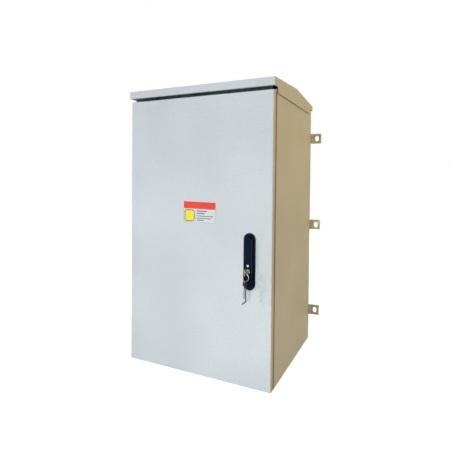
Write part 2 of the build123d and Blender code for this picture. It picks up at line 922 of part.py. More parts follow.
def make_lock_base():
    """A raised oblong escutcheon with the spindle's bush behind it."""
    base = stadium(lock_x, lock_centre_height, lock_base_width, lock_base_length, base_front, door_face)
    base = fillet(base.faces().sort_by(Axis.Y)[0].edges(), lock_base_edge)
    base += bar((lock_x, door_face, spindle_z), "y", spindle_radius + 0.8, door_sheet + 4)
    base -= bar((lock_x, base_front - 1, spindle_z), "y", spindle_radius + running_gap, 30)
    for x, z in lock_screw_places():
        base -= bar((x, door_face - lock_screw_depth - 0.3, z), "y", lock_screw_radius + running_gap, 10)
    return base


def make_lock_spindle():
    """A turned spindle: an eye for the lever at the front and a square for the pinion behind."""
    rear = tongue_near() + latch_thickness - running_gap
    spindle = bar((lock_x, base_front, spindle_z), "y", spindle_radius, door_skin + 8 - base_front)
    square = spindle_square / 2
    spindle += block(
        (lock_x - square, door_skin + 7, spindle_z - square), (lock_x + square, rear, spindle_z + square)
    )
    eye_y = lever_pin_y()
    eye = lever_thickness - lever_pin_depth - lever_wall - lever_gap
    width = spindle_head_width / 2
    spindle += block(
        (lock_x - width, eye_y, spindle_z - eye), (lock_x + width, base_front + 0.1, spindle_z + eye)
    )
    spindle += bar((lock_x - width, eye_y, spindle_z), "x", eye, 2 * width)
    spindle -= bar((lock_x - width - 1, eye_y, spindle_z), "x", lever_pin_radius + running_gap, 2 * width + 2)
    spindle += bar((lock_x, rear - 1, spindle_z), "y", spindle_stud_radius, spindle_nut_height + 3)
    return spindle


def make_spindle_nut():
    """Holds the tongue on the spindle's square."""
    seat = tongue_near() + latch_thickness
    nut = hex_bar((lock_x, seat, spindle_z), "y", spindle_nut_flats, spindle_nut_height)
    hole = spindle_stud_radius + running_gap
    return nut - bar((lock_x, seat - 1, spindle_z), "y", hole, spindle_nut_height + 2)


def lever_pin_y():
    return lever_back - lever_pin_depth


def lever_bevel():
    """What is planed off behind the pin so that the lever's short end clears the base when it tips out."""
    angle = math.radians(lever_tilt_limit)
    reach = lever_pin_depth - lever_gap / 2
    axis_y, axis_z = lever_pin_y(), spindle_z
    start = (axis_y + reach * math.cos(angle), axis_z + reach * math.sin(angle))
    corners = []
    for step, out in ((-1, 0), (1, 0), (1, 1), (-1, 1)):
        y = start[0] + lever_width * (out * math.cos(angle) - step * math.sin(angle))
        z = start[1] + lever_width * (out * math.sin(angle) + step * math.cos(angle))
        corners.append((y, z))
    return along_x(corners, lock_x - lever_width, lock_x + lever_width)


def make_swing_lever():
    """A die-cast lever, hollow behind, bevelled behind its pin so that it can tip out."""
    lever = stadium(lock_x, lock_centre_height, lever_width, lever_length, lever_front, lever_back)
    lever = fillet(lever.faces().sort_by(Axis.Y)[0].edges(), lever_edge_radius)
    pocket_bottom = cylinder_z + cylinder_radius + 2 * lever_wall
    pocket_top = lock_centre_height + lever_length / 2 - lever_wall * 1.4
    length = pocket_top - pocket_bottom
    lever -= stadium(
        lock_x, (pocket_top + pocket_bottom) / 2, lever_width - 2 * lever_wall, length,
        lever_front + lever_wall, lever_back + 1,
    )
    cheek_in = spindle_head_width / 2 + lever_gap
    cheek_out = lever_width / 2 - lever_wall + 0.5
    for side in (-1, 1):
        low, high = sorted((lock_x + side * cheek_in, lock_x + side * cheek_out))
        lever += block(
            (low, lever_front + 1, spindle_z - lever_cheek_height),
            (high, lever_back, spindle_z + lever_cheek_height),
        )
    lever -= lever_bevel()
    pin_hole = lever_pin_radius + running_gap
    lever -= bar((lock_x - lever_width, lever_pin_y(), spindle_z), "x", pin_hole, 2 * lever_width)
    barrel_hole = cylinder_radius + running_gap
    lever -= bar((lock_x, lever_front - 1, cylinder_z), "y", barrel_hole, lever_thickness + 2)
    return lever - bar((lock_x, lever_front - 1, rivet_z()), "y", rivet_radius + running_gap, lever_wall + 2)


def rivet_z():
    return cylinder_z + rivet_rise


def make_lever_rivet():
    """The bright domed rivet over the cylinder, through the lever's front wall."""
    shank = bar((lock_x, lever_front - 0.1, rivet_z()), "y", rivet_radius, lever_wall + 0.3)
    head_start = (lock_x, lever_front - rivet_head_height, rivet_z())
    head = bar(head_start, "y", rivet_head_radius, rivet_head_height)
    return shank + fillet(head.faces().sort_by(Axis.Y)[0].edges(), rivet_head_height * 0.9)


def make_lever_pin():
    reach = lever_width / 2 - lever_wall
    return bar((lock_x - reach, lever_pin_y(), spindle_z), "x", lever_pin_radius, 2 * reach)


def make_lock_cylinder():
    """The barrel in the lever, with its keyway and a small rim."""
    face = cylinder_front
    barrel = bar((lock_x, face, cylinder_z), "y", cylinder_radius, lever_back - 0.1 - face)
    barrel = chamfer(barrel.faces().sort_by(Axis.Y)[0].edges(), 0.6)
    keyway = keyway_height / 2
    barrel -= block(
        (lock_x - keyway_width / 2, face - 1, cylinder_z - keyway),
        (lock_x + keyway_width / 2, face + lever_thickness - 1, cylinder_z + keyway),
    )
    return barrel


def key_outline(blade_length):
    """A key's bow, neck and blade in its own plane, blade along +u, bow centre at the origin."""
    reach = key_bow_length / 2
    blade = key_blade_height / 2
    bow = SlotOverall(key_bow_width, key_bow_length * 0.999, rotation=90)
    stem = Pos((reach + key_neck_length + blade_length) / 2, 0) * Rectangle(
        reach + key_neck_length + blade_length, key_blade_height
    )
    notch_pitch = 3.2
    sketch = bow + stem
    count = int((blade_length - 6) / notch_pitch)
    for n in range(count):
        depth = (1.1, 1.9, 0.9, 2.3, 1.4)[n % 5]
        u = reach + key_neck_length + 4 + n * notch_pitch
        tooth = Polygon((u, blade + 0.1), (u + 1.4, blade - depth), (u + 2.8, blade + 0.1), align=None)
        sketch -= tooth
    hole = Pos(-key_hole_offset, 0) * Circle(key_hole_radius)
    return sketch - hole


def make_lock_key():
    """The key in the barrel, its flat upright, blade pointing in along +Y."""
    blade_length = lever_thickness - 1.5
    origin = (lock_x - key_thickness / 2, bow_centre_y, cylinder_z)
    plane = Plane(origin=origin, x_dir=(0, 1, 0), z_dir=(1, 0, 0))
    return extrude(plane * key_outline(blade_length), key_thickness)


def make_key_ring():
    centre = (lock_x, ring_y, ring_top_z - ring_radius)
    return Pos(*centre) * Rot(90, 0, 0) * Torus(ring_radius, ring_wire_radius)


def make_spare_key():
    """The second key, hung from the ring by the hole in its bow, blade down."""
    hole_z = ring_bottom_z - key_hole_radius + ring_wire_radius + hanging_gap + pendant_lift()
    origin = (lock_x - pendant_offset - key_thickness / 2, ring_y, hole_z - key_hole_offset)
    plane = Plane(origin=origin, x_dir=(0, 0, -1), z_dir=(1, 0, 0))
    return extrude(plane * key_outline(key_blade_length), key_thickness)


def pendant_lift():
    """How far the ring's wire has risen beside its lowest point."""
    reach = pendant_offset + key_thickness / 2
    return ring_radius - math.sqrt(ring_radius ** 2 - reach ** 2)


def make_wire_tool():
    """A bent steel wire with an eye, hung beside the spare key."""
    eye_hole = tool_eye_radius - tool_wire_radius * 0.7
    eye_z = ring_bottom_z - eye_hole + ring_wire_radius + hanging_gap + pendant_lift()
    x, y = lock_x + pendant_offset, ring_y
    wire = tool_wire_radius * 0.7
    eye = Pos(x, y, eye_z) * Rot(0, 90, 0) * Torus(tool_eye_radius, wire)
    top = eye_z - tool_eye_radius - wire + 0.6
    low = top - tool_straight
    tool = eye + bar((x, y, low), "z", tool_wire_radius, tool_straight)
    tool += Pos(x, y, low) * Sphere(tool_wire_radius)
    foot = Cylinder(tool_wire_radius, tool_foot, align=(Align.CENTER, Align.CENTER, Align.MIN))
    return tool + Pos(x, y, low) * Rot(0, 180 + tool_bend_angle, 0) * foot


# Rod drive

def involute_flank(base_radius, start_radius, end_radius, steps):
    """Points (radius, angle) along an involute between two radii."""
    points = []
    for n in range(steps + 1):
        radius = max(start_radius + (end_radius - start_radius) * n / steps, base_radius)
        roll = math.sqrt((radius / base_radius) ** 2 - 1)
        points.append((radius, roll - math.atan(roll)))
    return points


def make_drive_pinion():
    """A spur pinion with involute teeth on the spindle's square."""
    angle = math.radians(pressure_angle)
    base_radius = gear_radius * math.cos(angle)
    tip = gear_radius + gear_module * 0.9
    root = gear_radius - gear_module * 1.2
    at_pitch = math.tan(angle) - angle
    half_tooth = math.pi / (2 * gear_teeth) - gear_backlash / 4 / gear_radius
    flank = involute_flank(base_radius, base_radius, tip, 4)
    outline = []
    for n in range(gear_teeth):
        middle = 2 * math.pi * n / gear_teeth
        rising = [(r, middle - half_tooth - at_pitch + a) for r, a in flank]
        falling = [(r, middle + half_tooth + at_pitch - a) for r, a in reversed(flank)]
        foot_low = (root, rising[0][1])
        foot_high = (root, falling[-1][1])
        outline += [foot_low] + rising + falling + [foot_high]
    points = [(lock_x + r * math.cos(a), spindle_z + r * math.sin(a)) for r, a in outline]
    pinion = along_y(points, rod_y - gear_thickness / 2, rod_y + gear_thickness / 2)
    hole = spindle_square / 2 + running_gap
    return pinion - block(
        (lock_x - hole, rod_y - gear_thickness, spindle_z - hole),
        (lock_x + hole, rod_y + gear_thickness, spindle_z + hole),
    )


def rack_outline(side, low, high, first_gap):
    """A rod's flat outline with rack teeth facing the pinion; first_gap is a gap's middle height."""
    pitch = math.pi * gear_module
    pitch_x = gear_radius
    crest = pitch_x - gear_module * 0.9
    valley = pitch_x + gear_module * 1.2
    lean = math.tan(math.radians(pressure_angle))
    half_gap = pitch / 4 + gear_backlash / 4
    at_crest = half_gap + (pitch_x - crest) * lean
    at_valley = half_gap - (valley - pitch_x) * lean
    outer = valley + rod_width
    points = [(outer, low), (outer, high), (valley, high)]
    count = rack_teeth
    top_gap = first_gap + (count // 2) * pitch
    start = top_gap + pitch / 2
    points += [(valley, start), (crest, start)]
    for n in range(count):
        z = top_gap - n * pitch
        points += [(crest, z + at_crest), (valley, z + at_valley)]
        points += [(valley, z - at_valley), (crest, z - at_crest)]
    end = top_gap - (count - 1) * pitch - pitch / 2
    points += [(crest, end), (valley, end), (valley, low)]
    return [(lock_x + side * x, z) for x, z in points]


def rod_travel():
    return gear_radius * math.pi / 2


def upper_rod_end():
    return doorway_high - case_sheet - rod_end_gap


def lower_rod_end():
    return doorway_low + case_sheet + rod_end_gap


def rod_x(side):
    return lock_x + side * (gear_radius + gear_module * 1.2 + rod_width / 2)


def rod_tip(side, end, step):
    """The rod's tapered nose, as four outline corners."""
    x = rod_x(side)
    return [
        (x - rod_width / 2, end - step * rod_tip_length), (x - rod_width / 5, end),
        (x + rod_width / 5, end), (x + rod_width / 2, end - step * rod_tip_length),
    ]


def make_upper_rod():
    """Runs up from the right of the pinion; a tooth of the pinion meets a gap of this rack."""
    pitch = math.pi * gear_module
    low = spindle_z - (rack_teeth // 2) * pitch - pitch
    shoulder = upper_rod_end() - rod_tip_length
    near, far = rod_y - rod_thickness / 2, rod_y + rod_thickness / 2
    rod = along_y(rack_outline(1, low, shoulder, spindle_z), near, far)
    return rod + along_y(rod_tip(1, upper_rod_end(), 1), near, far)


def make_lower_rod():
    """Runs down from the left of the pinion; a gap of the pinion meets a tooth of this rack."""
    pitch = math.pi * gear_module
    high = spindle_z + (rack_teeth // 2) * pitch + pitch * 1.5
    shoulder = lower_rod_end() + rod_tip_length
    near, far = rod_y - rod_thickness / 2, rod_y + rod_thickness / 2
    rod = along_y(rack_outline(-1, shoulder, high, spindle_z + pitch / 2), near, far)
    return rod + along_y(rod_tip(-1, lower_rod_end(), -1), near, far)


def make_gearcase():
    """A pressed housing on the door that carries the pinion and guides both racks."""
    reach = gear_radius + gear_module * 1.2 + rod_width + guide_gap
    near = rod_y - drive_half - guide_gap - case_wall
    far = rod_y + drive_half + guide_gap
    low, high = spindle_z - gearcase_length / 2, spindle_z + gearcase_length / 2
    outer = reach + case_wall
    shell = block((lock_x - outer, door_skin, low), (lock_x + outer, near + case_wall, high))
    shell -= block(
        (lock_x - outer + case_wall, door_skin + case_wall, low - 1),
        (lock_x + outer - case_wall, near, high + 1),
    )
    for side in (-1, 1):
        wall_in, wall_out = side * reach, side * outer
        shell += Pos(lock_x, 0, 0) * block(
            (min(wall_in, wall_out), near, low), (max(wall_in, wall_out), far + case_wall, high)
        )
    depth = near + case_wall + 2 - door_skin
    shell -= bar((lock_x, door_skin - 1, spindle_z), "y", spindle_radius + 1.5, depth)
    for x, z in lock_screw_places():
        if low < z < high:
            shell -= bar((x, door_skin - 1, z), "y", lock_screw_radius + bolt_hole_gap, case_wall + 2)
    return shell


def make_gearcase_cover():
    reach = gear_radius + gear_module * 1.2 + rod_width + guide_gap
    near = rod_y + drive_half + guide_gap
    outer = reach - running_gap
    low, high = spindle_z - gearcase_length / 2, spindle_z + gearcase_length / 2
    cover = block((lock_x - outer, near, low), (lock_x + outer, near + case_wall * 0.75, high))
    return cover - bar((lock_x, near - 1, spindle_z), "y", spindle_square / 2 * math.sqrt(2) + 0.4, 6)


def tongue_near():
    """Front face of the tongue, clear of the gearcase's side walls."""
    return rod_y + drive_half + guide_gap + case_wall + guide_gap


def make_latch_tongue():
    """A flat tongue on the spindle's square that points at the keeper when the door is locked."""
    near, far = tongue_near(), tongue_near() + latch_thickness
    square = spindle_square / 2 + running_gap
    wide = latch_width / 2
    end = doorway - case_sheet - latch_end_gap
    tongue = block((lock_x, near, spindle_z - wide), (end, far, spindle_z + wide))
    tongue = fillet(tongue.edges().filter_by(Axis.Y).group_by(Axis.X)[-1], 4)
    tongue += bar((lock_x, near, spindle_z), "y", latch_width * 0.6, latch_thickness)
    return tongue - block(
        (lock_x - square, near - 1, spindle_z - square), (lock_x + square, far + 1, spindle_z + square)
    )


def make_lock_screws():
    screws = []
    for x, z in lock_screw_places():
        depth = door_sheet + (case_wall if abs(z - spindle_z) < gearcase_length / 2 else 0)
        length = lock_screw_depth + depth + 2
        shank = bar((x, door_face - lock_screw_depth, z), "y", lock_screw_radius, length)
        head = hex_bar((x, door_face + depth, z), "y", lock_screw_flats, lock_screw_head)
        screws.append(shank + head)
    return group(screws)


def guide_heights(side):
    if side > 0:
        return upper_rod_end() - guide_from_end - rod_travel()
    return lower_rod_end() + guide_from_end + rod_travel()


def make_rod_guide(side):
    """A bridge welded to the door, with a slot that the rod slides through."""
    x, z = rod_x(side), guide_heights(side)
    reach = rod_width / 2 + guide_gap
    near, far = rod_y - rod_thickness / 2 - guide_gap, rod_y + rod_thickness / 2 + guide_gap
    height = guide_half_height
    leg = reach + guide_sheet
    guide = block((x - leg, door_skin, z - height), (x + leg, far + guide_sheet, z + height))
    guide -= block((x - reach, near, z - height - 1), (x + reach, far, z + height + 1))
    guide -= block(
        (x - reach, door_skin + guide_sheet, z - height - 1), (x + reach, near - guide_sheet, z + height + 1)
    )
    return guide


def make_latch_keeper():
    """An angle behind the right flange that the tongue laps."""
    inner = doorway - case_sheet
    near = front + case_sheet
    low, high = spindle_z - keeper_height / 2, spindle_z + keeper_height / 2
    outer = half - case_sheet - keeper_edge_gap
    keeper = block((inner, near, low), (outer, near + keeper_sheet, high))
    keeper += block((inner, near, low), (inner + keeper_sheet, near + keeper_depth, high))
    return keeper


def make_rod_keeper(side):
    """A plate behind the top or bottom flange, with a hole for the rod's nose."""
    x = rod_x(side)
    near = front + case_sheet
    wide = rod_width * 1.6
    if side > 0:
        low, high = doorway_high - case_sheet, case_height - case_sheet - rod_keeper_gap
        seat_low, seat_high = low, low + keeper_sheet
    else:
        low, high = case_sheet + rod_keeper_gap, doorway_low + case_sheet
        seat_low, seat_high = high - keeper_sheet, high
    keeper = block((x - wide, near, low), (x + wide, near + keeper_sheet, high))
    keeper += block((x - wide, near, seat_low), (x + wide, near + keeper_depth, seat_high))
    return keeper - block(
        (x - rod_width / 2 - 1, rod_y - rod_thickness / 2 - 1, seat_low - 1),
        (x + rod_width / 2 + 1, rod_y + rod_thickness / 2 + 1, seat_high + 1),
    )


# Mounting plate and equipment

def make_mounting_plate():
    low, high = plate_bottom, plate_bottom + plate_height
    reach = plate_width / 2
    plate = block((-reach, plate_front, low), (reach, plate_back, high))
    for x, z in stud_places():
        plate -= bar((x, plate_front - 1, z), "y", stud_radius + bolt_hole_gap, plate_sheet + 2)
    for step in (-1, 1):
        x = step * (reach - plate_sheet / 2)
        plate += block(
            (x - plate_sheet / 2, plate_front, low + plate_flange_inset),
            (x + plate_sheet / 2, plate_back + plate_flange, high - plate_flange_inset),
        )
    return plate


def make_plate_studs():
    wall = back - case_sheet
    studs = []
    for x, z in stud_places():
        collar = bar((x, plate_back, z), "y", stud_collar_radius, wall - plate_back)
        studs.append(collar + bar((x, wall - stud_length, z), "y", stud_radius, stud_length))
    return group(studs)


def make_plate_nuts():
    nuts = []
    for x, z in stud_places():
        nut = hex_bar((x, plate_front - nut_height, z), "y", nut_across_flats, nut_height)
        hole = bar((x, plate_front - nut_height - 1, z), "y", stud_radius + running_gap, nut_height + 2)
        nuts.append(nut - hole)
    return group(nuts)


def rail_face():
    return plate_front - rail_depth


def make_din_rail(z):
    """A top-hat rail screwed to the plate."""
    t, wide, deep = rail_thickness, rail_width / 2, rail_depth
    web = wide - rail_brim
    base = plate_front
    outline = [
        (base, z - web), (base, z + web), (base - deep + t, z + web), (base - deep + t, z + wide),
        (base - deep, z + wide), (base - deep, z + web - t), (base - t, z + web - t),
        (base - t, z - web + t), (base - deep, z - web + t), (base - deep, z - wide),
        (base - deep + t, z - wide), (base - deep + t, z - web),
    ]
    return along_x(outline, -din_rail_length / 2, din_rail_length / 2)


def module_outline(z, height, depth, nose):
    """The side view of a rail-mounted module with a raised nose."""
    back_y = rail_face()
    shoulder = back_y - depth + module_step
    return [
        (back_y, z - height / 2), (shoulder, z - height / 2), (shoulder, z - nose / 2),
        (back_y - depth, z - nose / 2), (back_y - depth, z + nose / 2), (shoulder, z + nose / 2),
        (shoulder, z + height / 2), (back_y, z + height / 2),
    ]


def breaker_left():
    return -din_rail_length / 2 + breaker_inset


def make_module(left, width):
    """The plain body of a rail module from its left side."""
    outline = module_outline(breaker_rail_z, module_height, module_depth, module_nose)
    return along_x(outline, left, left + width - slice_gap)


def make_main_breaker():
    left = breaker_left()
    body = make_module(left, 2 * module_width)
    face = rail_face() - module_depth
    middle = left + module_width - slice_gap / 2
    well = toggle_half_width + 1
    body -= block(
        (middle - well, face - 1, breaker_rail_z - 13), (middle + well, face + 9, breaker_rail_z + 13)
    )
    for n in (0, 1):
        for step in (-1, 1):
            x = left + module_width * (n + 0.5)
            body -= bar((x, face + module_step - 1, breaker_rail_z + step * 33), "y", 3.2, 8)
    reach = toggle_trunnion_reach + running_gap
    x, y, z = toggle_axis()
    return body - bar((x - reach, y, z), "x", toggle_trunnion_radius + running_gap, 2 * reach)


def toggle_axis():
    face = rail_face() - module_depth
    return breaker_left() + module_width - slice_gap / 2, face + 2, breaker_rail_z


def make_breaker_toggle():
    x, y, z = toggle_axis()
    drum = bar((x - toggle_half_width, y, z), "x", toggle_radius, 2 * toggle_half_width)
    drum += bar((x - toggle_trunnion_reach, y, z), "x", toggle_trunnion_radius, 2 * toggle_trunnion_reach)
    paddle = Rot(-toggle_throw / 2, 0, 0) * block((-8, -toggle_reach, -2), (8, 0, 2))
    return drum + Pos(x, y, z) * paddle


def arresters_left():
    return breaker_left() + 2 * module_width + module_break


def make_surge_arresters():
    arresters = []
    face = rail_face() - module_depth
    for n in range(3):
        x = arresters_left() + n * module_width
        window = block((x + 6, face - 1, breaker_rail_z - 15), (x + 12, face + 1, breaker_rail_z - 9))
        arresters.append(make_module(x, module_width) - window)
    return group(arresters)


def relays_left():
    return arresters_left() + 3 * module_width + 2 * module_break


def make_relays():
    """Plug-in relays, each a clear can in its rail socket."""
    relays = []
    face, middle = rail_face(), breaker_rail_z
    seat = face - relay_socket_depth
    for n in range(relay_count):
        x = relays_left() + n * relay_pitch
        far = x + relay_width
        half_socket, half_can = relay_socket_height / 2, relay_can_height / 2
        socket = block((x, seat, middle - half_socket), (far, face, middle + half_socket))
        can = block(
            (x + relay_can_inset, seat - relay_can_depth, middle - half_can),
            (far - relay_can_inset, seat, middle + half_can),
        )
        relays.append(socket + fillet(can.edges().filter_by(Axis.Y), 2))
    return group(relays)


def flasher_left():
    return relays_left() + relay_count * relay_pitch + module_break + 2


def make_flasher_unit():
    x, face = flasher_left(), rail_face()
    low, high = breaker_rail_z - flasher_height / 2, breaker_rail_z + flasher_height / 2
    body = block((x, face - flasher_depth, low), (x + flasher_width, face, high))
    body = fillet(body.faces().sort_by(Axis.Y)[0].edges(), 2)
    for n in range(6):
        z = low + flasher_slot_pitch * (n + 1)
        body -= block((x - 1, face - flasher_depth + 18, z), (x + 2, face - 20, z + 4))
    for step in (-1, 1):
        lamp_x = x + flasher_width / 2 + step * 14
        body += bar((lamp_x, face - flasher_depth - 1.5, breaker_rail_z + 22), "y", 3, 2.5)
    return body


def thermostat_left():
    return flasher_left() + flasher_width + module_break + 2


def dial_axis():
    return thermostat_left() + thermostat_width / 2, breaker_rail_z + dial_rise


def make_thermostat():
    x, face = thermostat_left(), rail_face()
    near = face - thermostat_depth
    low, high = breaker_rail_z - thermostat_height / 2, breaker_rail_z + thermostat_height / 2
    body = block((x, near, low), (x + thermostat_width, face, high))
    body = fillet(body.faces().sort_by(Axis.Y)[0].edges(), 2)
    axis_x, axis_z = dial_axis()
    body -= bar((axis_x, near - 1, axis_z), "y", dial_spindle_radius + running_gap, 12)
    for n in range(4):
        z = low + 6 * (n + 1)
        body -= block((x + 6, near - 1, z), (x + thermostat_width - 6, near + 2, z + 2.5))
    return body


def make_thermostat_dial():
    """A knob with a pointer groove, on a spindle in the thermostat."""
    x, z = dial_axis()
    near = rail_face() - thermostat_depth
    knob = bar((x, near - dial_height, z), "y", dial_radius, dial_height - 0.3)
    knob = fillet(knob.faces().sort_by(Axis.Y)[0].edges(), 1)
    knob -= block(
        (x - 0.8, near - dial_height - 1, z + 3), (x + 0.8, near - dial_height + 1, z + dial_radius)
    )
    return knob + bar((x, near - 1, z), "y", dial_spindle_radius, dial_height)


def make_terminal_blocks():
    """Rail terminals: a stepped slice with a screw well at each level."""
    left = -terminal_count * terminal_pitch / 2
    face, z = rail_face(), terminal_rail_z
    high, deep = terminal_height / 2, terminal_depth
    outline = [
        (face, z - high), (face - deep * 0.55, z - high), (face - deep * 0.6, z - high * 0.45),
        (face - deep, z - high * 0.4), (face - deep, z + high * 0.4), (face - deep * 0.6, z + high * 0.45),
        (face - deep * 0.55, z + high), (face, z + high),
    ]
    blocks = []
    for n in range(terminal_count):
        x = left + n * terminal_pitch
        blocks.append(along_x(outline, x, x + terminal_pitch - slice_gap))
    return group(blocks)


def make_terminal_ends():
    reach = terminal_count * terminal_pitch / 2
    face, z = rail_face(), terminal_rail_z
    ends = []
    for side in (-1, 1):
        low = reach if side > 0 else -reach - end_stop_width - slice_gap
        tall = terminal_height / 2 - 1
        stop = block((low, face - end_stop_depth, z - tall), (low + end_stop_width, face, z + tall))
        ends.append(fillet(stop.faces().sort_by(Axis.Y)[0].edges(), 2))
    return group(ends)


def make_trunking(z):
    """A slotted cable duct: a channel whose two walls are combs."""
    reach, wide = plate_width / 2 - trunking_end_gap, trunking_width / 2
    outer = block((-reach, plate_front - trunking_depth, z - wide), (reach, plate_front, z + wide))
    outer -= block(
        (-reach - 1, plate_front - trunking_depth - 1, z - wide + trunking_wall),
        (reach + 1, plate_front - trunking_wall, z + wide - trunking_wall),
    )
    count = int(2 * reach / trunking_slot_pitch)
    cuts = []
    for n in range(count):
        x = (n - (count - 1) / 2) * trunking_slot_pitch
        cuts.append(block(
            (x - trunking_slot / 2, plate_front - trunking_depth - 1, z - wide - 1),
            (x + trunking_slot / 2, plate_front - trunking_slot_floor, z + wide + 1),
        ))
    return outer - cuts


def make_trunking_lid(z):
    """A snap-on lid whose lips lie outside the comb."""
    reach = plate_width / 2 - trunking_end_gap
    inner = trunking_width / 2 + slice_gap
    outer = inner + trunking_wall
    near = plate_front - trunking_depth - slice_gap
    lid = block((-reach, near - trunking_wall, z - outer), (reach, near + lid_lip, z + outer))
    return lid - block((-reach - 1, near, z - inner), (reach + 1, near + lid_lip + 1, z + inner))


def make_terminal_bar(side):
    """A drilled copper bar on two insulating pillars."""
    middle = side * (plate_width / 2 - bar_width / 2 - bar_end_gap)
    near = plate_front - bar_standoff - bar_depth
    wide, tall = bar_width / 2, bar_height / 2
    piece = block((middle - wide, near, bar_z - tall), (middle + wide, near + bar_depth, bar_z + tall))
    for n in range(bar_screw_count):
        x = middle + (n - (bar_screw_count - 1) / 2) * bar_screw_pitch
        piece += bar((x, near - 3, bar_z), "y", 3.2, 4)
    return piece


def make_bar_pillars():
    pillars = []
    for side in (-1, 1):
        middle = side * (plate_width / 2 - bar_width / 2 - bar_end_gap)
        for step in (-1, 1):
            x = middle + step * (bar_width / 2 - 8)
            pillars.append(hex_bar((x, plate_front - bar_standoff, bar_z), "y", 10, bar_standoff))
    return group(pillars)


def controller_box():
    right, high = controller_left + controller_width, controller_bottom + controller_height
    return controller_left, right, controller_bottom, high


def open_case(left, right, low, high, depth):
    """A folded unit case, open to the front, standing on the mounting plate."""
    near = plate_front - depth
    shell = block((left, near, low), (right, plate_front, high))
    return shell - block(
        (left + unit_sheet, near - 1, low + unit_sheet),
        (right - unit_sheet, plate_front - unit_sheet, high - unit_sheet),
    )


def make_controller_case():
    left, right, low, high = controller_box()
    shell = open_case(left, right, low, high, controller_depth)
    near = plate_front - controller_depth
    cuts = []
    pitch = controller_width / (vent_slots_across + 1)
    for n in range(vent_slots_across):
        x = left + pitch * (n + 1)
        for z in (low, high):
            cuts.append(block((x - 4, near + 35, z - 4), (x + 4, plate_front - 30, z + 4)))
    return shell - cuts


def display_place():
    left, right, low, high = controller_box()
    return left + 22 + display_width / 2, high - 26 - display_height / 2


def mode_switch_place():
    left, right, low, high = controller_box()
    return right - 32, plate_front - controller_depth - front_thickness, low + 46


def make_controller_front():
    left, right, low, high = controller_box()
    near = plate_front - controller_depth - front_thickness
    panel = block(
        (left - front_overhang, near, low - front_overhang),
        (right + front_overhang, near + front_thickness, high + front_overhang),
    )
    panel = fillet(panel.edges().filter_by(Axis.Y), 3)
    x, z = display_place()
    wide, tall = display_width / 2, display_height / 2
    panel -= block((x - wide, near - 1, z - tall), (x + wide, near + front_thickness + 1, z + tall))
    switch_x, _, switch_z = mode_switch_place()
    panel -= bar((switch_x, near - 1, switch_z), "y", switch_bush_radius + bolt_hole_gap, front_thickness + 2)
    port_low = low + 22
    for n in range(port_count):
        x = left + 34 + n * port_pitch
        wide = port_width / 2
        panel += block((x - wide, near - port_proud, port_low), (x + wide, near + 1, port_low + port_height))
        wide -= port_wall
        panel -= block(
            (x - wide, near - port_proud - 1, port_low + 2.5),
            (x + wide, near - 1, port_low + port_height - 2.5),
        )
    for n in range(status_lamp_count):
        x = left + 24 + n * status_lamp_pitch
        panel += bar((x, near - 1.5, low + 64), "y", status_lamp_radius, 2)
    return panel


def make_controller_display():
    x, z = display_place()
    near = plate_front - controller_depth - front_thickness
    wide, tall = display_width / 2 - display_gap, display_height / 2 - display_gap
    return block((x - wide, near + display_recess, z - tall), (x + wide, near + front_thickness, z + tall))


def bow_handle(x, z, span, near):
    """An upright bow handle on a front panel."""
    path = FilletPolyline(
        (x, near, z - span / 2), (x, near - handle_reach, z - span / 2),
        (x, near - handle_reach, z + span / 2), (x, near, z + span / 2), radius=handle_bend,
    )
    return sweep(path.location_at(0) * Circle(handle_bar_radius), path=path)


def make_controller_handles():
    left, right, low, high = controller_box()
    near = plate_front - controller_depth - front_thickness
    middle = (low + high) / 2
    places = (left + handle_inset, right - handle_inset)
    return group([bow_handle(x, middle, handle_span, near) for x in places])


def make_mode_switch_bush():
    x, y, z = mode_switch_place()
    bush = bar((x, y - 7, z), "y", switch_bush_radius, 14)
    bush += hex_bar((x, y - 2.5, z), "y", 14, 2.5)
    bush -= bar((x, y - 8, z), "y", switch_bush_hole, 9)
    return bush


def make_mode_switch_bat():
    """A toggle bat that leans up from its ball."""
    x, y, z = mode_switch_place()
    ball = Pos(x, y - 4, z)
    lean = ball * Rot(90 - switch_bat_lean, 0, 0)
    stem = Cylinder(switch_bat_radius, switch_bat_length, align=(Align.CENTER, Align.CENTER, Align.MIN))
    bat = ball * Sphere(switch_ball_radius) + lean * stem
    return bat + lean * Pos(0, 0, switch_bat_length) * Sphere(switch_bat_tip)


def monitor_span():
    left = controller_left + controller_width + front_overhang + unit_gap
    return left, left + monitor_width


def make_conflict_monitor():
    left, right = monitor_span()
    low, high = controller_box()[2:]
    near = plate_front - controller_depth
    body = block((left, near, low), (right, plate_front, high))
    body = fillet(body.faces().sort_by(Axis.Y)[0].edges(), 2)
    for column in range(3):
        for n in range(12):
            x, z = left + 18 + column * 12, low + 24 + n * 11
            body += block((x - 3, near - 1.2, z), (x + 3, near + 1, z + 5))
    body -= block((right - 20, near - 1, low + 24), (right - 10, near + 3, low + 64))
    body += bar((right - 15, near - 3, high - 26), "y", 4.5, 4)
    return body


def supply_span():
    left = monitor_span()[1] + unit_gap
    return left, left + supply_width


def make_power_supply():
    left, right = supply_span()
    low, high = controller_box()[2:]
    depth = controller_depth - supply_setback
    near = plate_front - depth
    body = open_case(left, right, low, high, depth)
    body += block((left, near, low), (right, near + unit_sheet, high))
    cuts = []
    pitch = controller_height / (supply_slot_count + 1.5)
    for row in range(supply_slot_count):
        z = low + pitch * (row + 1)
        cuts.append(block((left + 10, near - 1, z), (right - 10, near + 3, z + 6)))
    body -= cuts
    return body


def rack_span():
    wide = switch_count * switch_pitch + switch_gap
    return -wide / 2, wide / 2


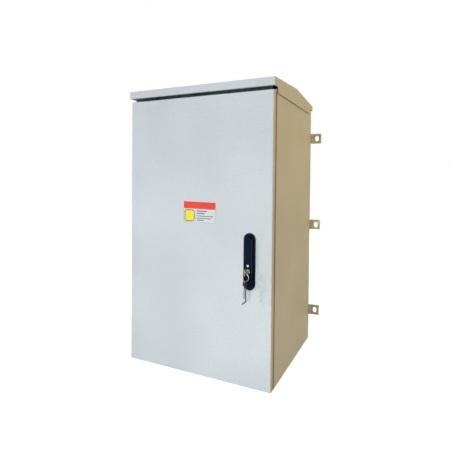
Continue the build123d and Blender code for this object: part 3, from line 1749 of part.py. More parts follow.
def make_output_rack():
    """An open rack: two side plates, a floor and a top joined by a back plane."""
    left, right = rack_span()
    low, high = rack_bottom, rack_bottom + rack_height
    near = plate_front - rack_depth
    rack = block((left - rack_sheet, near, low), (right + rack_sheet, plate_front, high))
    rack -= block(
        (left, near - 1, low + rack_sheet), (right, plate_front - rack_back_space, high - rack_sheet)
    )
    cuts = []
    for n in range(switch_count):
        x = left + switch_gap + n * switch_pitch
        for z in (low, high):
            rear = plate_front - rack_back_space - 16
            cuts.append(block((x + 10, near + 14, z - 4), (x + switch_width - 10, rear, z + 4)))
    return rack - cuts


def make_load_switches():
    """Plug-in output modules, each with a pull and three lamps on its front."""
    left = rack_span()[0]
    low, high = rack_bottom + rack_sheet, rack_bottom + rack_sheet + switch_height
    rear = plate_front - rack_back_space
    near = plate_front - switch_depth
    modules = []
    for n in range(switch_count):
        x = left + switch_gap + n * switch_pitch
        middle, far = x + switch_width / 2, x + switch_width
        module = block((x, near, low), (far, rear, high))
        for inner, outer in ((x + switch_side_recess, x - 1), (far - switch_side_recess, far + 1)):
            module -= block(
                (min(inner, outer), near + 20, low + 14), (max(inner, outer), rear - 16, high - 14)
            )
        wide = switch_pull_width / 2
        pull = block(
            (middle - wide, near - switch_pull_reach, low + switch_pull_low),
            (middle + wide, near, low + switch_pull_high),
        )
        module += fillet(pull.faces().sort_by(Axis.Y)[0].edges(), 2)
        for step in (-1, 0, 1):
            lamp_x = middle + step * switch_lamp_pitch
            module += bar((lamp_x, near - 1.5, low + switch_lamp_height), "y", switch_lamp_radius, 2.5)
        modules.append(module)
    return group(modules)


# Fan, lamp and door switch

def fan_top():
    return case_height - case_sheet


def make_fan_housing():
    reach = fan_size / 2
    low, high = fan_top() - fan_height, fan_top()
    housing = block((-reach, fan_y - reach, low), (reach, fan_y + reach, high))
    housing = fillet(housing.edges().filter_by(Axis.Z), 5)
    housing -= bar((0, fan_y, low - 1), "z", rotor_radius + 2, fan_height + 2)
    for x in (-1, 1):
        for y in (-1, 1):
            hole_x, hole_y = x * (reach - fan_screw_inset), fan_y + y * (reach - fan_screw_inset)
            housing -= bar((hole_x, hole_y, low - 1), "z", 2.2, fan_height + 2)
    hub_low = low + 1.5
    housing += bar((0, fan_y, hub_low), "z", hub_radius - 1, fan_hub_height)
    for n in range(4):
        spoke = block((hub_radius - 4, -2, hub_low), (rotor_radius + 3, 2, hub_low + 3))
        housing += Pos(0, fan_y, 0) * Rot(0, 0, 45 + 90 * n) * spoke
    housing += bar((0, fan_y, hub_low + 3), "z", fan_axle_radius, 14)
    return housing


def make_fan_rotor():
    """A hub with swept, pitched blades that turns on the housing's spindle."""
    low = fan_top() - fan_height + 6.5
    high = fan_top() - 4
    tall = high - low
    rotor = bar((0, fan_y, low), "z", hub_radius, tall)
    for n in range(blade_count):
        blade = Box(rotor_radius - hub_radius + 3, blade_chord, blade_thickness)
        blade = Pos((rotor_radius + hub_radius - 3) / 2, 0, 0) * Rot(blade_pitch_angle, 0, 0) * blade
        rotor += Pos(0, fan_y, (low + high) / 2) * Rot(0, 0, 360 / blade_count * n) * blade
    rotor -= bar((0, fan_y, low - 1), "z", fan_axle_radius + running_gap, 15)
    return rotor & bar((0, fan_y, low - fan_height), "z", rotor_radius, 3 * fan_height)


def make_fan_guard():
    """Concentric wires and two cross bars under the fan."""
    spoke_z = fan_top() - fan_height - guard_wire - 0.1
    ring_z = spoke_z - guard_wire * 1.2
    reach = fan_size / 2 * math.sqrt(2) - 10
    guard = None
    for angle in (45, 135):
        spoke = Pos(0, fan_y, spoke_z) * Rot(0, 0, angle) * bar((-reach, 0, 0), "x", guard_wire, 2 * reach)
        guard = spoke if guard is None else guard + spoke
    for radius in guard_rings:
        guard += Pos(0, fan_y, ring_z) * Torus(radius, guard_wire)
    return guard


def make_lamp_base():
    top = case_height - case_sheet
    reach = lamp_length / 2
    wide = lamp_base_width / 2
    base = block((-reach, lamp_y - wide, top - lamp_base_height), (reach, lamp_y + wide, top))
    return fillet(base.faces().sort_by(Axis.Z)[0].edges(), 2)


def make_lamp_lens():
    top = case_height - case_sheet - lamp_base_height
    reach = lamp_length / 2 - 12
    lens = bar((-reach, lamp_y, top), "x", lamp_radius, 2 * reach)
    return lens & block((-reach, lamp_y - 30, top - 30), (reach, lamp_y + 30, top))


def door_switch_place():
    return door_switch_x, front + case_sheet, doorway_high - 6


def make_door_switch():
    """A plunger switch on a bracket behind the top flange."""
    x, y, z = door_switch_place()
    wide = switch_body_width / 2
    low = z - 30
    body = block((x - wide, y, low), (x + wide, y + switch_body_depth, low + switch_body_height))
    return body - bar((x, y - 1, z - plunger_drop), "y", plunger_radius + running_gap, 17)


def make_switch_plunger():
    x, y, z = door_switch_place()
    tip = door_skin + 0.3
    return bar((x, tip, z - plunger_drop), "y", plunger_radius, y + 8 - tip)


def make_case_screws():
    """Roof bolts, gland plate screws and hinge screws, all held in the case."""
    return group([make_roof_bolts(), make_gland_screws(), make_hinge_screws()])


PARTS = {
    "case_shell": make_case_shell,
    "roof_canopy": make_roof_canopy,
    "roof_rails": lambda: group([make_roof_rail(-1), make_roof_rail(1)]),
    "case_screws": make_case_screws,
    "mounting_lugs": lambda: group([make_mounting_lug(s, z) for s in (-1, 1) for z in lug_heights()]),
    "lug_fasteners": lambda: group([make_lug_bolts(), make_lug_nuts()]),
    "gland_plate": make_gland_plate,
    "cable_grommets": make_cable_grommets,
    "filter_mat": make_filter_mat,
    "filter_frame": make_filter_frame,
    "hinge_case_leaves": lambda: group([make_hinge_case_leaf(z) for z in hinge_heights]),
    "hinge_door_leaves": lambda: group([make_hinge_door_leaf(z) for z in hinge_heights]),
    "hinge_pins": lambda: group([make_hinge_pin(z) for z in hinge_heights]),
    "keepers": lambda: group([make_latch_keeper(), make_rod_keeper(1), make_rod_keeper(-1)]),
    "door_panel": make_door_panel,
    "door_gasket": make_door_gasket,
    "door_stiffeners": lambda: group([make_stiffener(x) for x in (hat_left, hat_right)]),
    "document_pocket": make_document_pocket,
    "label_plate": make_label_plate,
    "lock_base": make_lock_base,
    "lock_screws": make_lock_screws,
    "lock_spindle": lambda: group([make_lock_spindle(), make_spindle_nut()]),
    "swing_lever": make_swing_lever,
    "lever_pin": lambda: group([make_lever_pin(), make_lever_rivet()]),
    "lock_cylinder": make_lock_cylinder,
    "lock_key": make_lock_key,
    "key_ring": make_key_ring,
    "spare_key": make_spare_key,
    "wire_tool": make_wire_tool,
    "drive_pinion": make_drive_pinion,
    "upper_rod": make_upper_rod,
    "lower_rod": make_lower_rod,
    "rod_guides": lambda: group([make_rod_guide(1), make_rod_guide(-1)]),
    "gearcase": lambda: group([make_gearcase(), make_gearcase_cover()]),
    "latch_tongue": make_latch_tongue,
    "mounting_plate": make_mounting_plate,
    "plate_fasteners": lambda: group([make_plate_studs(), make_plate_nuts()]),
    "din_rails": lambda: group([make_din_rail(breaker_rail_z), make_din_rail(terminal_rail_z)]),
    "main_breaker": make_main_breaker,
    "breaker_toggle": make_breaker_toggle,
    "rail_modules": lambda: group([make_surge_arresters(), make_relays()]),
    "flasher_unit": make_flasher_unit,
    "thermostat": make_thermostat,
    "thermostat_dial": make_thermostat_dial,
    "terminal_blocks": lambda: group([make_terminal_blocks(), make_terminal_ends()]),
    "trunking": lambda: group(
        [make(z) for make in (make_trunking, make_trunking_lid) for z in (upper_trunking_z, lower_trunking_z)]
    ),
    "earth_bars": lambda: group([make_terminal_bar(-1), make_terminal_bar(1), make_bar_pillars()]),
    "controller_case": make_controller_case,
    "controller_front": lambda: group(
        [make_controller_front(), make_controller_display(), make_mode_switch_bush()]
    ),
    "controller_handles": make_controller_handles,
    "mode_switch": make_mode_switch_bat,
    "conflict_monitor": make_conflict_monitor,
    "power_supply": make_power_supply,
    "output_rack": make_output_rack,
    "load_switches": make_load_switches,
    "fan_housing": lambda: group([make_fan_housing(), make_fan_guard()]),
    "fan_rotor": make_fan_rotor,
    "cabinet_lamp": lambda: group([make_lamp_base(), make_lamp_lens()]),
    "door_switch": make_door_switch,
    "switch_plunger": make_switch_plunger,
}

os.makedirs("parts", exist_ok=True)
for name, make in PARTS.items():
    export_step(make(), f"parts/{name}.step")
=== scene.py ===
import json
import math

import bmesh
import bpy
from mathutils import Matrix, Vector


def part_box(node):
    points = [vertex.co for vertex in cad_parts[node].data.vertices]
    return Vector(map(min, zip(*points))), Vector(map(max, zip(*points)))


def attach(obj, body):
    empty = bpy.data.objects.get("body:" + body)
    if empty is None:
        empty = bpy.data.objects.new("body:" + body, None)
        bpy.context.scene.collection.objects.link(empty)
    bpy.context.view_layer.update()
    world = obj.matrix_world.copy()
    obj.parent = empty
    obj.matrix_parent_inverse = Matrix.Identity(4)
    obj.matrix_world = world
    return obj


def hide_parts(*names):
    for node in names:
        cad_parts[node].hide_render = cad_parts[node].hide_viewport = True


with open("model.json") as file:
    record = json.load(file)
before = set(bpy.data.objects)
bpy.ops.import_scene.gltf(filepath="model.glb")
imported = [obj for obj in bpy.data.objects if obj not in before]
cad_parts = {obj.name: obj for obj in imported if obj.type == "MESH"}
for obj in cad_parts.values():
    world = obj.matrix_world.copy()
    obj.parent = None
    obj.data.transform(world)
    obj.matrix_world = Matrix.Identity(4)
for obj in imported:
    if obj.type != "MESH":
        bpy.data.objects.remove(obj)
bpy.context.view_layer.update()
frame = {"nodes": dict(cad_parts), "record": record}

MM = 0.001


# Colours and nodes

def linear(hex_colour):
    """A colour written as sRGB hex, turned into Blender's linear values."""
    channels = [int(hex_colour[i:i + 2], 16) / 255 for i in (1, 3, 5)]
    values = [c / 12.92 if c <= 0.04045 else ((c + 0.055) / 1.055) ** 2.4 for c in channels]
    return (*values, 1.0)


def add(tree, kind, inputs=None, **properties):
    """Adds a node, sets its properties, and sets or links its inputs."""
    node = tree.nodes.new(kind)
    for name, value in properties.items():
        setattr(node, name, value)
    for name, value in (inputs or {}).items():
        if isinstance(value, bpy.types.NodeSocket):
            tree.links.new(value, node.inputs[name])
        else:
            node.inputs[name].default_value = value
    return node


MIX_A, MIX_B, MIX_RESULT = 6, 7, 2


def blank(name, **settings):
    """A material with its shader's own sockets set; returns it with its tree, shader and mesh coordinates."""
    material = bpy.data.materials.new(name)
    material.use_nodes = True
    tree = material.node_tree
    shader = tree.nodes["Principled BSDF"]
    for socket, value in settings.items():
        shader.inputs[socket.replace("_", " ")].default_value = value
    place = add(tree, "ShaderNodeTexCoord").outputs["Object"]
    return material, tree, shader, place


def noise(tree, place, cell_mm, detail=2.0, roughness=0.5):
    """A noise whose lumps are about cell_mm across."""
    scale = 1 / (cell_mm * MM)
    return add(tree, "ShaderNodeTexNoise", {
        "Vector": place, "Scale": scale, "Detail": detail, "Roughness": roughness,
    }).outputs["Fac"]


def tint(tree, shader, mask, low_hex, high_hex, low=0.35, high=0.65):
    """Colours the surface between two shades as a mask goes from low to high."""
    spread = add(tree, "ShaderNodeMapRange", {"Value": mask, "From Min": low, "From Max": high})
    shade = add(tree, "ShaderNodeMix", {
        0: spread.outputs["Result"], MIX_A: linear(low_hex), MIX_B: linear(high_hex),
    }, data_type="RGBA")
    tree.links.new(shade.outputs[MIX_RESULT], shader.inputs["Base Color"])
    return shade.outputs[MIX_RESULT]


def gloss(tree, shader, mask, low, high):
    """Roughness between two values as a mask goes from dark to light."""
    spread = add(tree, "ShaderNodeMapRange", {"Value": mask, "To Min": low, "To Max": high})
    tree.links.new(spread.outputs["Result"], shader.inputs["Roughness"])


def relief(tree, shader, height, depth_mm, strength=1.0):
    """Raises the surface by a height map, depth_mm from its lowest to its highest point."""
    bump = add(tree, "ShaderNodeBump", {"Height": height, "Strength": strength, "Distance": depth_mm * MM})
    tree.links.new(bump.outputs["Normal"], shader.inputs["Normal"])


# Materials

def powder_coat():
    """Polyester powder coat on sheet steel, light grey, sprayed and baked: orange peel under a satin gloss.
    Real peel is about 1 mm across; it is drawn at 5 mm so that it shows at this distance."""
    material, tree, shader, place = blank("powder_coat_light_grey", IOR=1.5)
    peel = noise(tree, place, 5.0, 4.0, 0.65)
    fine = noise(tree, place, 1.4, 2.0)
    drift = noise(tree, place, 260.0, 1.0)
    drift_and_peel_shade = add(tree, "ShaderNodeMath", {0: drift, 1: peel}, operation="ADD").outputs[0]
    # The colour follows a slow drift, which is random tone, and the peel, lighter on its crests and darker in
    # its dips: painted light and shade on the relief.
    tint(tree, shader, drift_and_peel_shade, "#c6ced1", "#d2dadd", 0.8, 1.2)
    gloss(tree, shader, peel, 0.48, 0.62)
    both = add(tree, "ShaderNodeMath", {0: peel, 1: fine}, operation="ADD").outputs[0]
    relief(tree, shader, both, 1.1, 1.0)
    return material


def bright_zinc(name="zinc_plated_sheet", low_hex="#8d9193", high_hex="#a9adae", rough=(0.36, 0.5)):
    """Electro-galvanised sheet: bright with a faint blue cast and soft spangles some 12 mm across."""
    material, tree, shader, place = blank(name, Metallic=1.0)
    spangle = add(tree, "ShaderNodeTexVoronoi", {"Vector": place, "Scale": 1 / (12 * MM)})
    cloud = noise(tree, place, 40.0, 3.0)
    mask = add(tree, "ShaderNodeMath", {
        0: spangle.outputs["Distance"], 1: cloud,
    }, operation="MULTIPLY").outputs[0]
    tint(tree, shader, mask, low_hex, high_hex, 0.1, 0.4)
    gloss(tree, shader, cloud, *rough)
    relief(tree, shader, noise(tree, place, 3.0), 0.02, 0.3)
    return material


def yellow_passivated():
    """Zinc passivated to an olive yellow, as on the lugs: thin colour that pools in clouds."""
    material, tree, shader, place = blank("yellow_passivated_steel", Metallic=0.75)
    tint(tree, shader, noise(tree, place, 14.0, 4.0), "#867f64", "#a69e7c", 0.3, 0.7)
    gloss(tree, shader, noise(tree, place, 5.0), 0.32, 0.5)
    relief(tree, shader, noise(tree, place, 1.6), 0.03, 0.3)
    return material


def gloss_enamel():
    """Stoved enamel on die-cast zinc, black with a blue cast: smooth, deep gloss under a clear coat."""
    material, tree, shader, place = blank("stoved_black_enamel", IOR=1.5, Specular_IOR_Level=0.06)
    tint(tree, shader, noise(tree, place, 60.0), "#061120", "#09182c")
    gloss(tree, shader, noise(tree, place, 9.0), 0.05, 0.09)
    relief(tree, shader, noise(tree, place, 4.0), 0.02, 0.2)
    return material


def nickel_plate():
    """Bright nickel on brass keys and cylinder: warm silver with light handling scratches. Its colour is set
    darker all over than bright nickel, as painted shade for the shaded keys.
    """
    material, tree, shader, place = blank("bright_nickel", Metallic=1.0)
    tint(tree, shader, noise(tree, place, 8.0, 4.0), "#8d8781", "#bcb6b0", 0.3, 0.7)
    gloss(tree, shader, noise(tree, place, 2.0, 4.0), 0.16, 0.34)
    relief(tree, shader, noise(tree, place, 1.0, 4.0), 0.015, 0.3)
    return material


def blackened_wire():
    """Oil-blackened spring wire: near black, with grey where it rubs."""
    material, tree, shader, place = blank("oil_blackened_wire", Metallic=0.9)
    tint(tree, shader, noise(tree, place, 6.0, 4.0), "#23262b", "#4b4f57", 0.4, 0.75)
    gloss(tree, shader, noise(tree, place, 2.5), 0.3, 0.5)
    return material


def moulded(name, low_hex, high_hex, grain_mm=0.8, rough=(0.42, 0.58)):
    """A moulded thermoplastic: spark-eroded grain, even colour, soft sheen."""
    material, tree, shader, place = blank(name, IOR=1.49)
    tint(tree, shader, noise(tree, place, 90.0), low_hex, high_hex)
    grain = noise(tree, place, grain_mm, 2.0)
    gloss(tree, shader, grain, *rough)
    relief(tree, shader, grain, 0.04, 0.4)
    return material


def sponge_rubber():
    """Closed-cell sponge strip: matt black with pores about 1 mm across."""
    material, tree, shader, place = blank("sponge_rubber", IOR=1.5)
    pores = add(tree, "ShaderNodeTexVoronoi", {"Vector": place, "Scale": 1 / (1.2 * MM)}).outputs["Distance"]
    # The pits of the pores are coloured darker than the cell walls round them: painted shade in the hollows.
    tint(tree, shader, pores, "#111213", "#232526", 0.1, 0.6)
    gloss(tree, shader, pores, 0.7, 0.9)
    relief(tree, shader, pores, 0.25, 0.6)
    return material


def filter_fleece():
    """Needled polyester fleece: white fibres some 3 mm long, tangled."""
    material, tree, shader, place = blank("needled_polyester_fleece", Sheen_Weight=0.4)
    fibres = add(tree, "ShaderNodeTexWave", {
        "Vector": place, "Scale": 1 / (3 * MM) / 6, "Distortion": 30.0, "Detail": 4.0, "Detail Scale": 3.0,
    }).outputs["Fac"]
    tint(tree, shader, fibres, "#c9cac4", "#ecece6", 0.2, 0.8)
    gloss(tree, shader, fibres, 0.85, 0.95)
    relief(tree, shader, fibres, 0.4, 0.8)
    return material


def drawn_brass():
    """Drawn brass bar: fine lines along X from the die, slightly dulled."""
    material, tree, shader, place = blank("drawn_brass", Metallic=1.0)
    stretch = add(tree, "ShaderNodeMapping", {"Vector": place, "Scale": (0.04, 1.0, 1.0)}).outputs["Vector"]
    lines = noise(tree, stretch, 0.7, 3.0)
    tint(tree, shader, lines, "#b08d45", "#cfae63", 0.3, 0.7)
    gloss(tree, shader, lines, 0.25, 0.42)
    relief(tree, shader, lines, 0.02, 0.4)
    return material


def anodised_aluminium():
    """Brushed and anodised sheet: grain lines along X, satin."""
    material, tree, shader, place = blank("anodised_aluminium", Metallic=1.0)
    stretch = add(tree, "ShaderNodeMapping", {"Vector": place, "Scale": (0.02, 1.0, 1.0)}).outputs["Vector"]
    lines = noise(tree, stretch, 0.6, 3.0)
    tint(tree, shader, lines, "#9a9ea1", "#b3b7ba", 0.3, 0.7)
    gloss(tree, shader, lines, 0.42, 0.54)
    relief(tree, shader, lines, 0.02, 0.35)
    return material


def printed_film(name, low_hex, high_hex, rough=(0.34, 0.42)):
    """Screen ink on vinyl film: flat colour under a faint laminate gloss."""
    material, tree, shader, place = blank(name, IOR=1.46)
    tint(tree, shader, noise(tree, place, 30.0), low_hex, high_hex)
    gloss(tree, shader, noise(tree, place, 6.0), *rough)
    relief(tree, shader, noise(tree, place, 5.0), 0.02, 0.3)
    return material


STEEL = bright_zinc()
FASTENER = bright_zinc("zinc_plated_fastener", "#8f9496", "#b2b6b7", (0.28, 0.42))
GREY_ABS = moulded("light_grey_abs", "#b9bdc0", "#c3c7ca")
BLACK_ABS = moulded("black_polycarbonate", "#17181a", "#202124")
FINISHES = {
    "powder_coat": powder_coat(),
    "zinc_steel": STEEL,
    "plated_fasteners": FASTENER,
    "lug_steel": yellow_passivated(),
    "black_lock": gloss_enamel(),
    "bright_metal": nickel_plate(),
    "tool_steel": blackened_wire(),
    "foam_rubber": sponge_rubber(),
    "grommet_rubber": moulded("moulded_epdm", "#151617", "#1e1f20", 1.2, (0.6, 0.75)),
    "filter_fleece": filter_fleece(),
    "grey_plastic": GREY_ABS,
    "black_plastic": BLACK_ABS,
    "terminal_plastic": moulded("grey_polyamide", "#8f9592", "#9da3a0"),
    "brass_bar": drawn_brass(),
    "front_aluminium": anodised_aluminium(),
    "label_print": printed_film("white_vinyl_film", "#ccd1d3", "#d5dadb"),
}
SLOT_OF_NODE = {row["node"]: row["material_slot"] for row in frame["record"]["subparts"]}

for node, thing in frame["nodes"].items():
    if not thing.material_slots:
        thing.data.materials.append(None)
    for place in thing.material_slots:
        place.link = "OBJECT"
        place.material = FINISHES[SLOT_OF_NODE[node]]


# Meshes

def piece(name, mesh, material, body, smooth=True):
    """Turns a bmesh into a piece of the object that rides on a body."""
    bmesh.ops.recalc_face_normals(mesh, faces=mesh.faces)
    data = bpy.data.meshes.new(name)
    mesh.to_mesh(data)
    mesh.free()
    thing = bpy.data.objects.new(name, data)
    bpy.context.scene.collection.objects.link(thing)
    for finish in material if isinstance(material, list) else [material]:
        data.materials.append(finish)
    if smooth:
        data.shade_smooth()
        data.set_sharp_from_angle(angle=math.radians(40))
    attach(thing, body)
    return thing


def rounded_outline(width, height, radius, steps=5):
    """The points of a rectangle with round corners about the origin, anticlockwise."""
    points = []
    for turn, (x, z) in enumerate(((1, 1), (-1, 1), (-1, -1), (1, -1))):
        centre = Vector((x * (width / 2 - radius), z * (height / 2 - radius)))
        for n in range(steps + 1):
            angle = math.pi / 2 * (turn + n / steps)
            points.append(centre + radius * Vector((math.cos(angle), math.sin(angle))))
    return points


def raise_face(mesh, points, near, far, layer=0):
    """A thin plate between two y values whose (x, z) outline is given."""
    rings = [[mesh.verts.new((p[0], y, p[1])) for p in points] for y in (near, far)]
    faces = [mesh.faces.new(rings[0]), mesh.faces.new(rings[1][::-1])]
    count = len(points)
    for n in range(count):
        k = (n + 1) % count
        faces.append(mesh.faces.new((rings[0][n], rings[1][n], rings[1][k], rings[0][k])))
    for face in faces:
        face.material_index = layer


def loft(mesh, rings, closed=False, layer=0):
    """Joins rings of equal length: closed joins the last to the first, otherwise both ends are capped."""
    rows = [[mesh.verts.new(p) for p in ring] for ring in rings]
    pairs = list(zip(rows, rows[1:]))
    if closed:
        pairs.append((rows[-1], rows[0]))
    faces = []
    for near, far in pairs:
        count = len(near)
        for n in range(count):
            k = (n + 1) % count
            faces.append(mesh.faces.new((near[n], near[k], far[k], far[n])))
    if not closed:
        faces += [mesh.faces.new(rows[0]), mesh.faces.new(rows[-1][::-1])]
    for face in faces:
        face.material_index = layer


# Door seal: a foamed strip with a domed crown, run round the door in one length

SEAL_CORNER, SEAL_WIDTH = 7.0 * MM, 9.5 * MM
SEAL_STEPS = 8

low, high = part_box("door_gasket")
seal_height = high.y - low.y
seal_centre = Vector(((low.x + high.x) / 2, (low.z + high.z) / 2))
seal_run = rounded_outline(high.x - low.x - SEAL_WIDTH, high.z - low.z - SEAL_WIDTH, SEAL_CORNER, SEAL_STEPS)
seal_profile = [(-0.5, 0.0), (-0.5, 0.35), (-0.42, 0.72), (-0.24, 0.94), (0.0, 1.0),
                (0.24, 0.94), (0.42, 0.72), (0.5, 0.35), (0.5, 0.0)]
seal_rings = []
for n, point in enumerate(seal_run):
    along = (seal_run[(n + 1) % len(seal_run)] - seal_run[n - 1]).normalized()
    across = Vector((along.y, -along.x))
    ring = []
    for offset, rise in seal_profile:
        place = seal_centre + point + across * offset * SEAL_WIDTH
        ring.append((place.x, low.y + rise * seal_height, place.y))
    seal_rings.append(ring)
seal_mesh = bmesh.new()
loft(seal_mesh, seal_rings, closed=True)
seal = piece("door_seal", seal_mesh, FINISHES["foam_rubber"], "door")
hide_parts("door_gasket")


# Edge guard: a rubber profile clipped over the return on the door's lock side, outline in mm. The strip is
# also painted shade: it and its dark grey stand in for the shadowed joint between door and case.

SHADE_GUARD_OUTLINE = ((-2.3, -6.5), (-2.3, 0.5), (-1.9, 0.9), (0.4, 0.9), (0.8, 0.5), (0.8, -6.1), (0.5, -6.5))
SHADE_GUARD_END = 3.0 * MM

low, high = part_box("door_panel")
shade_guard_mesh = bmesh.new()
loft(shade_guard_mesh, [[(high.x + x * MM, high.y + y * MM, z) for x, y in SHADE_GUARD_OUTLINE]
                  for z in (low.z + SHADE_GUARD_END, high.z - SHADE_GUARD_END)])
# The mid grey of this rubber is painted shade for the shadowed joint between door and case.
shade_guard_rubber = moulded("grey_rubber_painted_joint_shade", "#6b675f", "#767168", 1.2, (0.6, 0.75))
piece("edge_guard_painted_joint_shade", shade_guard_mesh, shade_guard_rubber, "door")


# Filter fleece: a soft mat that swells between the bars of its frame

FLEECE_STEP = 2.0 * MM

low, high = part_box("filter_mat")
columns = int((high.x - low.x) / FLEECE_STEP)
rows = int((high.y - low.y) / FLEECE_STEP)
fleece_mesh = bmesh.new()


def fleece_height(u, v):
    """Height of the mat over its seat: thin at its rim, softly uneven in the middle."""
    rim = min(u, 1 - u, v, 1 - v)
    swell = min(1.0, rim * 14) ** 0.5
    uneven = 0.9 + 0.06 * math.sin(u * 37) * math.cos(v * 23) + 0.04 * math.sin(u * 91 + v * 57)
    return low.z + (high.z - low.z) * (0.35 + 0.65 * swell * uneven)


grid = []
for i in range(columns + 1):
    u = i / columns
    line = []
    for j in range(rows + 1):
        v = j / rows
        line.append(fleece_mesh.verts.new((
            low.x + u * (high.x - low.x), low.y + v * (high.y - low.y), min(high.z, fleece_height(u, v)),
        )))
    grid.append(line)
for i in range(columns):
    for j in range(rows):
        fleece_mesh.faces.new((grid[i][j], grid[i + 1][j], grid[i + 1][j + 1], grid[i][j + 1]))
rim = ([grid[i][0] for i in range(columns)] + [grid[columns][j] for j in range(rows)]
       + [grid[i][rows] for i in range(columns, 0, -1)] + [grid[0][j] for j in range(rows, 0, -1)])
skirt = [fleece_mesh.verts.new((v.co.x, v.co.y, low.z)) for v in rim]
for n in range(len(rim)):
    k = (n + 1) % len(rim)
    fleece_mesh.faces.new((rim[n], rim[k], skirt[k], skirt[n]))
fleece_mesh.faces.new(skirt[::-1])
fleece = piece("filter_fleece", fleece_mesh, FINISHES["filter_fleece"], "cabinet")
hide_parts("filter_mat")


# Label: plain colour fields printed on the plate, sizes in mm

LABEL_TILT = math.radians(0.8)
INK = 0.06 * MM
RED_INK = printed_film("red_screen_ink", "#dc3a2a", "#e44432")
YELLOW_INK = printed_film("yellow_screen_ink", "#ecd93a", "#f2e246")
GREY_INK = printed_film("grey_screen_ink", "#55595d", "#606468")
PALE_INK = printed_film("pale_grey_screen_ink", "#9a9fa5", "#a5aab0")
low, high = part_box("label_plate")
label_mesh = bmesh.new()


def ink_field(x, z, width, height, radius, layer, coats=1):
    """A printed field on the label, placed from its middle in millimetres; a second coat covers the first."""
    points = [p + Vector((x, z)) * MM for p in rounded_outline(width * MM, height * MM, radius * MM, 4)]
    raise_face(label_mesh, points, -INK * coats, 0.0, layer)


ink_field(0, 20.6, 112, 21.6, 1.2, 0)
ink_field(-34.5, -11.2, 36, 36, 8.0, 2)
ink_field(-34.5, -11.2, 31, 31, 6.0, 1, 2)
TEXT_BARS = ((3.6, 36, 3.2), (-3.4, 28, 3.2), (-11.4, 58, 2.4), (-18.4, 50, 2.4), (-24.4, 26, 2.4))
for z, length, thick in TEXT_BARS:
    ink_field(-9 + length / 2, z, length, thick, 1.0, 2)
ink_field(-12.6, -11.2, 1.0, 40, 0.4, 3)
ink_field(0, -31.4, 112, 1.1, 0.4, 3)
for x in (-55.6, 55.6):
    ink_field(x, -11.2, 1.1, 40, 0.4, 3)
middle = (low + high) / 2
turn = Matrix.Translation((middle.x, low.y, middle.z)) @ Matrix.Rotation(LABEL_TILT, 4, "Y")
label_mesh.transform(turn)
LABEL_INKS = [RED_INK, YELLOW_INK, GREY_INK, PALE_INK]
piece("label_fields", label_mesh, LABEL_INKS, "door", smooth=False)


# Unit fronts: lenses, display and keypad

RED_LENS = moulded("red_acrylic_lens", "#a81f1a", "#c22b22", 3.0, (0.12, 0.2))
AMBER_LENS = moulded("amber_acrylic_lens", "#cf8a1e", "#dd9c2e", 3.0, (0.12, 0.2))
GREEN_LENS = moulded("green_acrylic_lens", "#25803a", "#309447", 3.0, (0.12, 0.2))
RED, AMBER, GREEN = 0, 1, 2
LENS_POINTS, LENS_STEPS = 16, 4


def dome(mesh, x, y, z, radius, rise, layer):
    """A domed lens that faces the door, its rim at y."""
    rings = []
    for step in range(LENS_STEPS):
        angle = math.pi / 2 * step / LENS_STEPS
        reach, out = radius * math.cos(angle), rise * math.sin(angle)
        turns = [2 * math.pi * n / LENS_POINTS for n in range(LENS_POINTS)]
        rings.append([(x + reach * math.cos(t), y - out, z + reach * math.sin(t)) for t in turns])
    loft(mesh, rings, layer=layer)


def tablet(mesh, x, y, z, width, height, corner, rise, layer=0):
    """A plate with round corners and a bevelled rim that faces the door, its back at y."""
    rings = []
    for inset, out in ((0.0, 0.0), (0.0, 0.6), (0.25, 1.0)):
        shrink = inset * rise * 2
        points = rounded_outline(width - shrink, height - shrink, corner, 3)
        rings.append([(x + p.x, y - out * rise, z + p.y) for p in points])
    loft(mesh, rings, layer=layer)


STATUS_ROW = (GREEN, GREEN, GREEN, AMBER, GREEN, GREEN, AMBER, GREEN, RED, RED)
STATUS_START, STATUS_PITCH, STATUS_HEIGHT = 24, 12, 64
BEZEL = 1.5 * MM
SMALL_LENS, LARGE_LENS = (2.0 * MM, 1.4 * MM), (2.7 * MM, 1.6 * MM)
SWITCH_FACE, SWITCH_LENS_X, SWITCH_LENS_STEP, SWITCH_LENS_Z = 14, 23, 11, 94
MONITOR_ROWS, MONITOR_X, MONITOR_Z, MONITOR_STEP_X, MONITOR_STEP_Z = 12, 18, 26.5, 12, 11
FLASHER_X, FLASHER_Z = 14, 22
SWITCH_PITCH = 50.0 * MM
PANEL_THICKNESS = 3.0 * MM

lens_mesh = bmesh.new()
case_low, case_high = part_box("controller_case")
panel_face = case_low.y - PANEL_THICKNESS
for n, colour in enumerate(STATUS_ROW):
    x, z = case_low.x + (STATUS_START + STATUS_PITCH * n) * MM, case_low.z + STATUS_HEIGHT * MM
    dome(lens_mesh, x, panel_face - BEZEL, z, *SMALL_LENS, colour)

low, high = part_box("load_switches")
switch_face = low.y + SWITCH_FACE * MM
for n in range(round((high.x - low.x) / SWITCH_PITCH)):
    for step, colour in ((-1, RED), (0, AMBER), (1, GREEN)):
        x = low.x + n * SWITCH_PITCH + (SWITCH_LENS_X + SWITCH_LENS_STEP * step) * MM
        dome(lens_mesh, x, switch_face - BEZEL, low.z + SWITCH_LENS_Z * MM, *LARGE_LENS, colour)

low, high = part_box("conflict_monitor")
for column, colour in enumerate((RED, AMBER, GREEN)):
    for row in range(MONITOR_ROWS):
        x = low.x + (MONITOR_X + MONITOR_STEP_X * column) * MM
        z = low.z + (MONITOR_Z + MONITOR_STEP_Z * row) * MM
        tablet(lens_mesh, x, low.y + 1.8 * MM, z, 5.2 * MM, 4.2 * MM, 0.6 * MM, 0.5 * MM, colour)

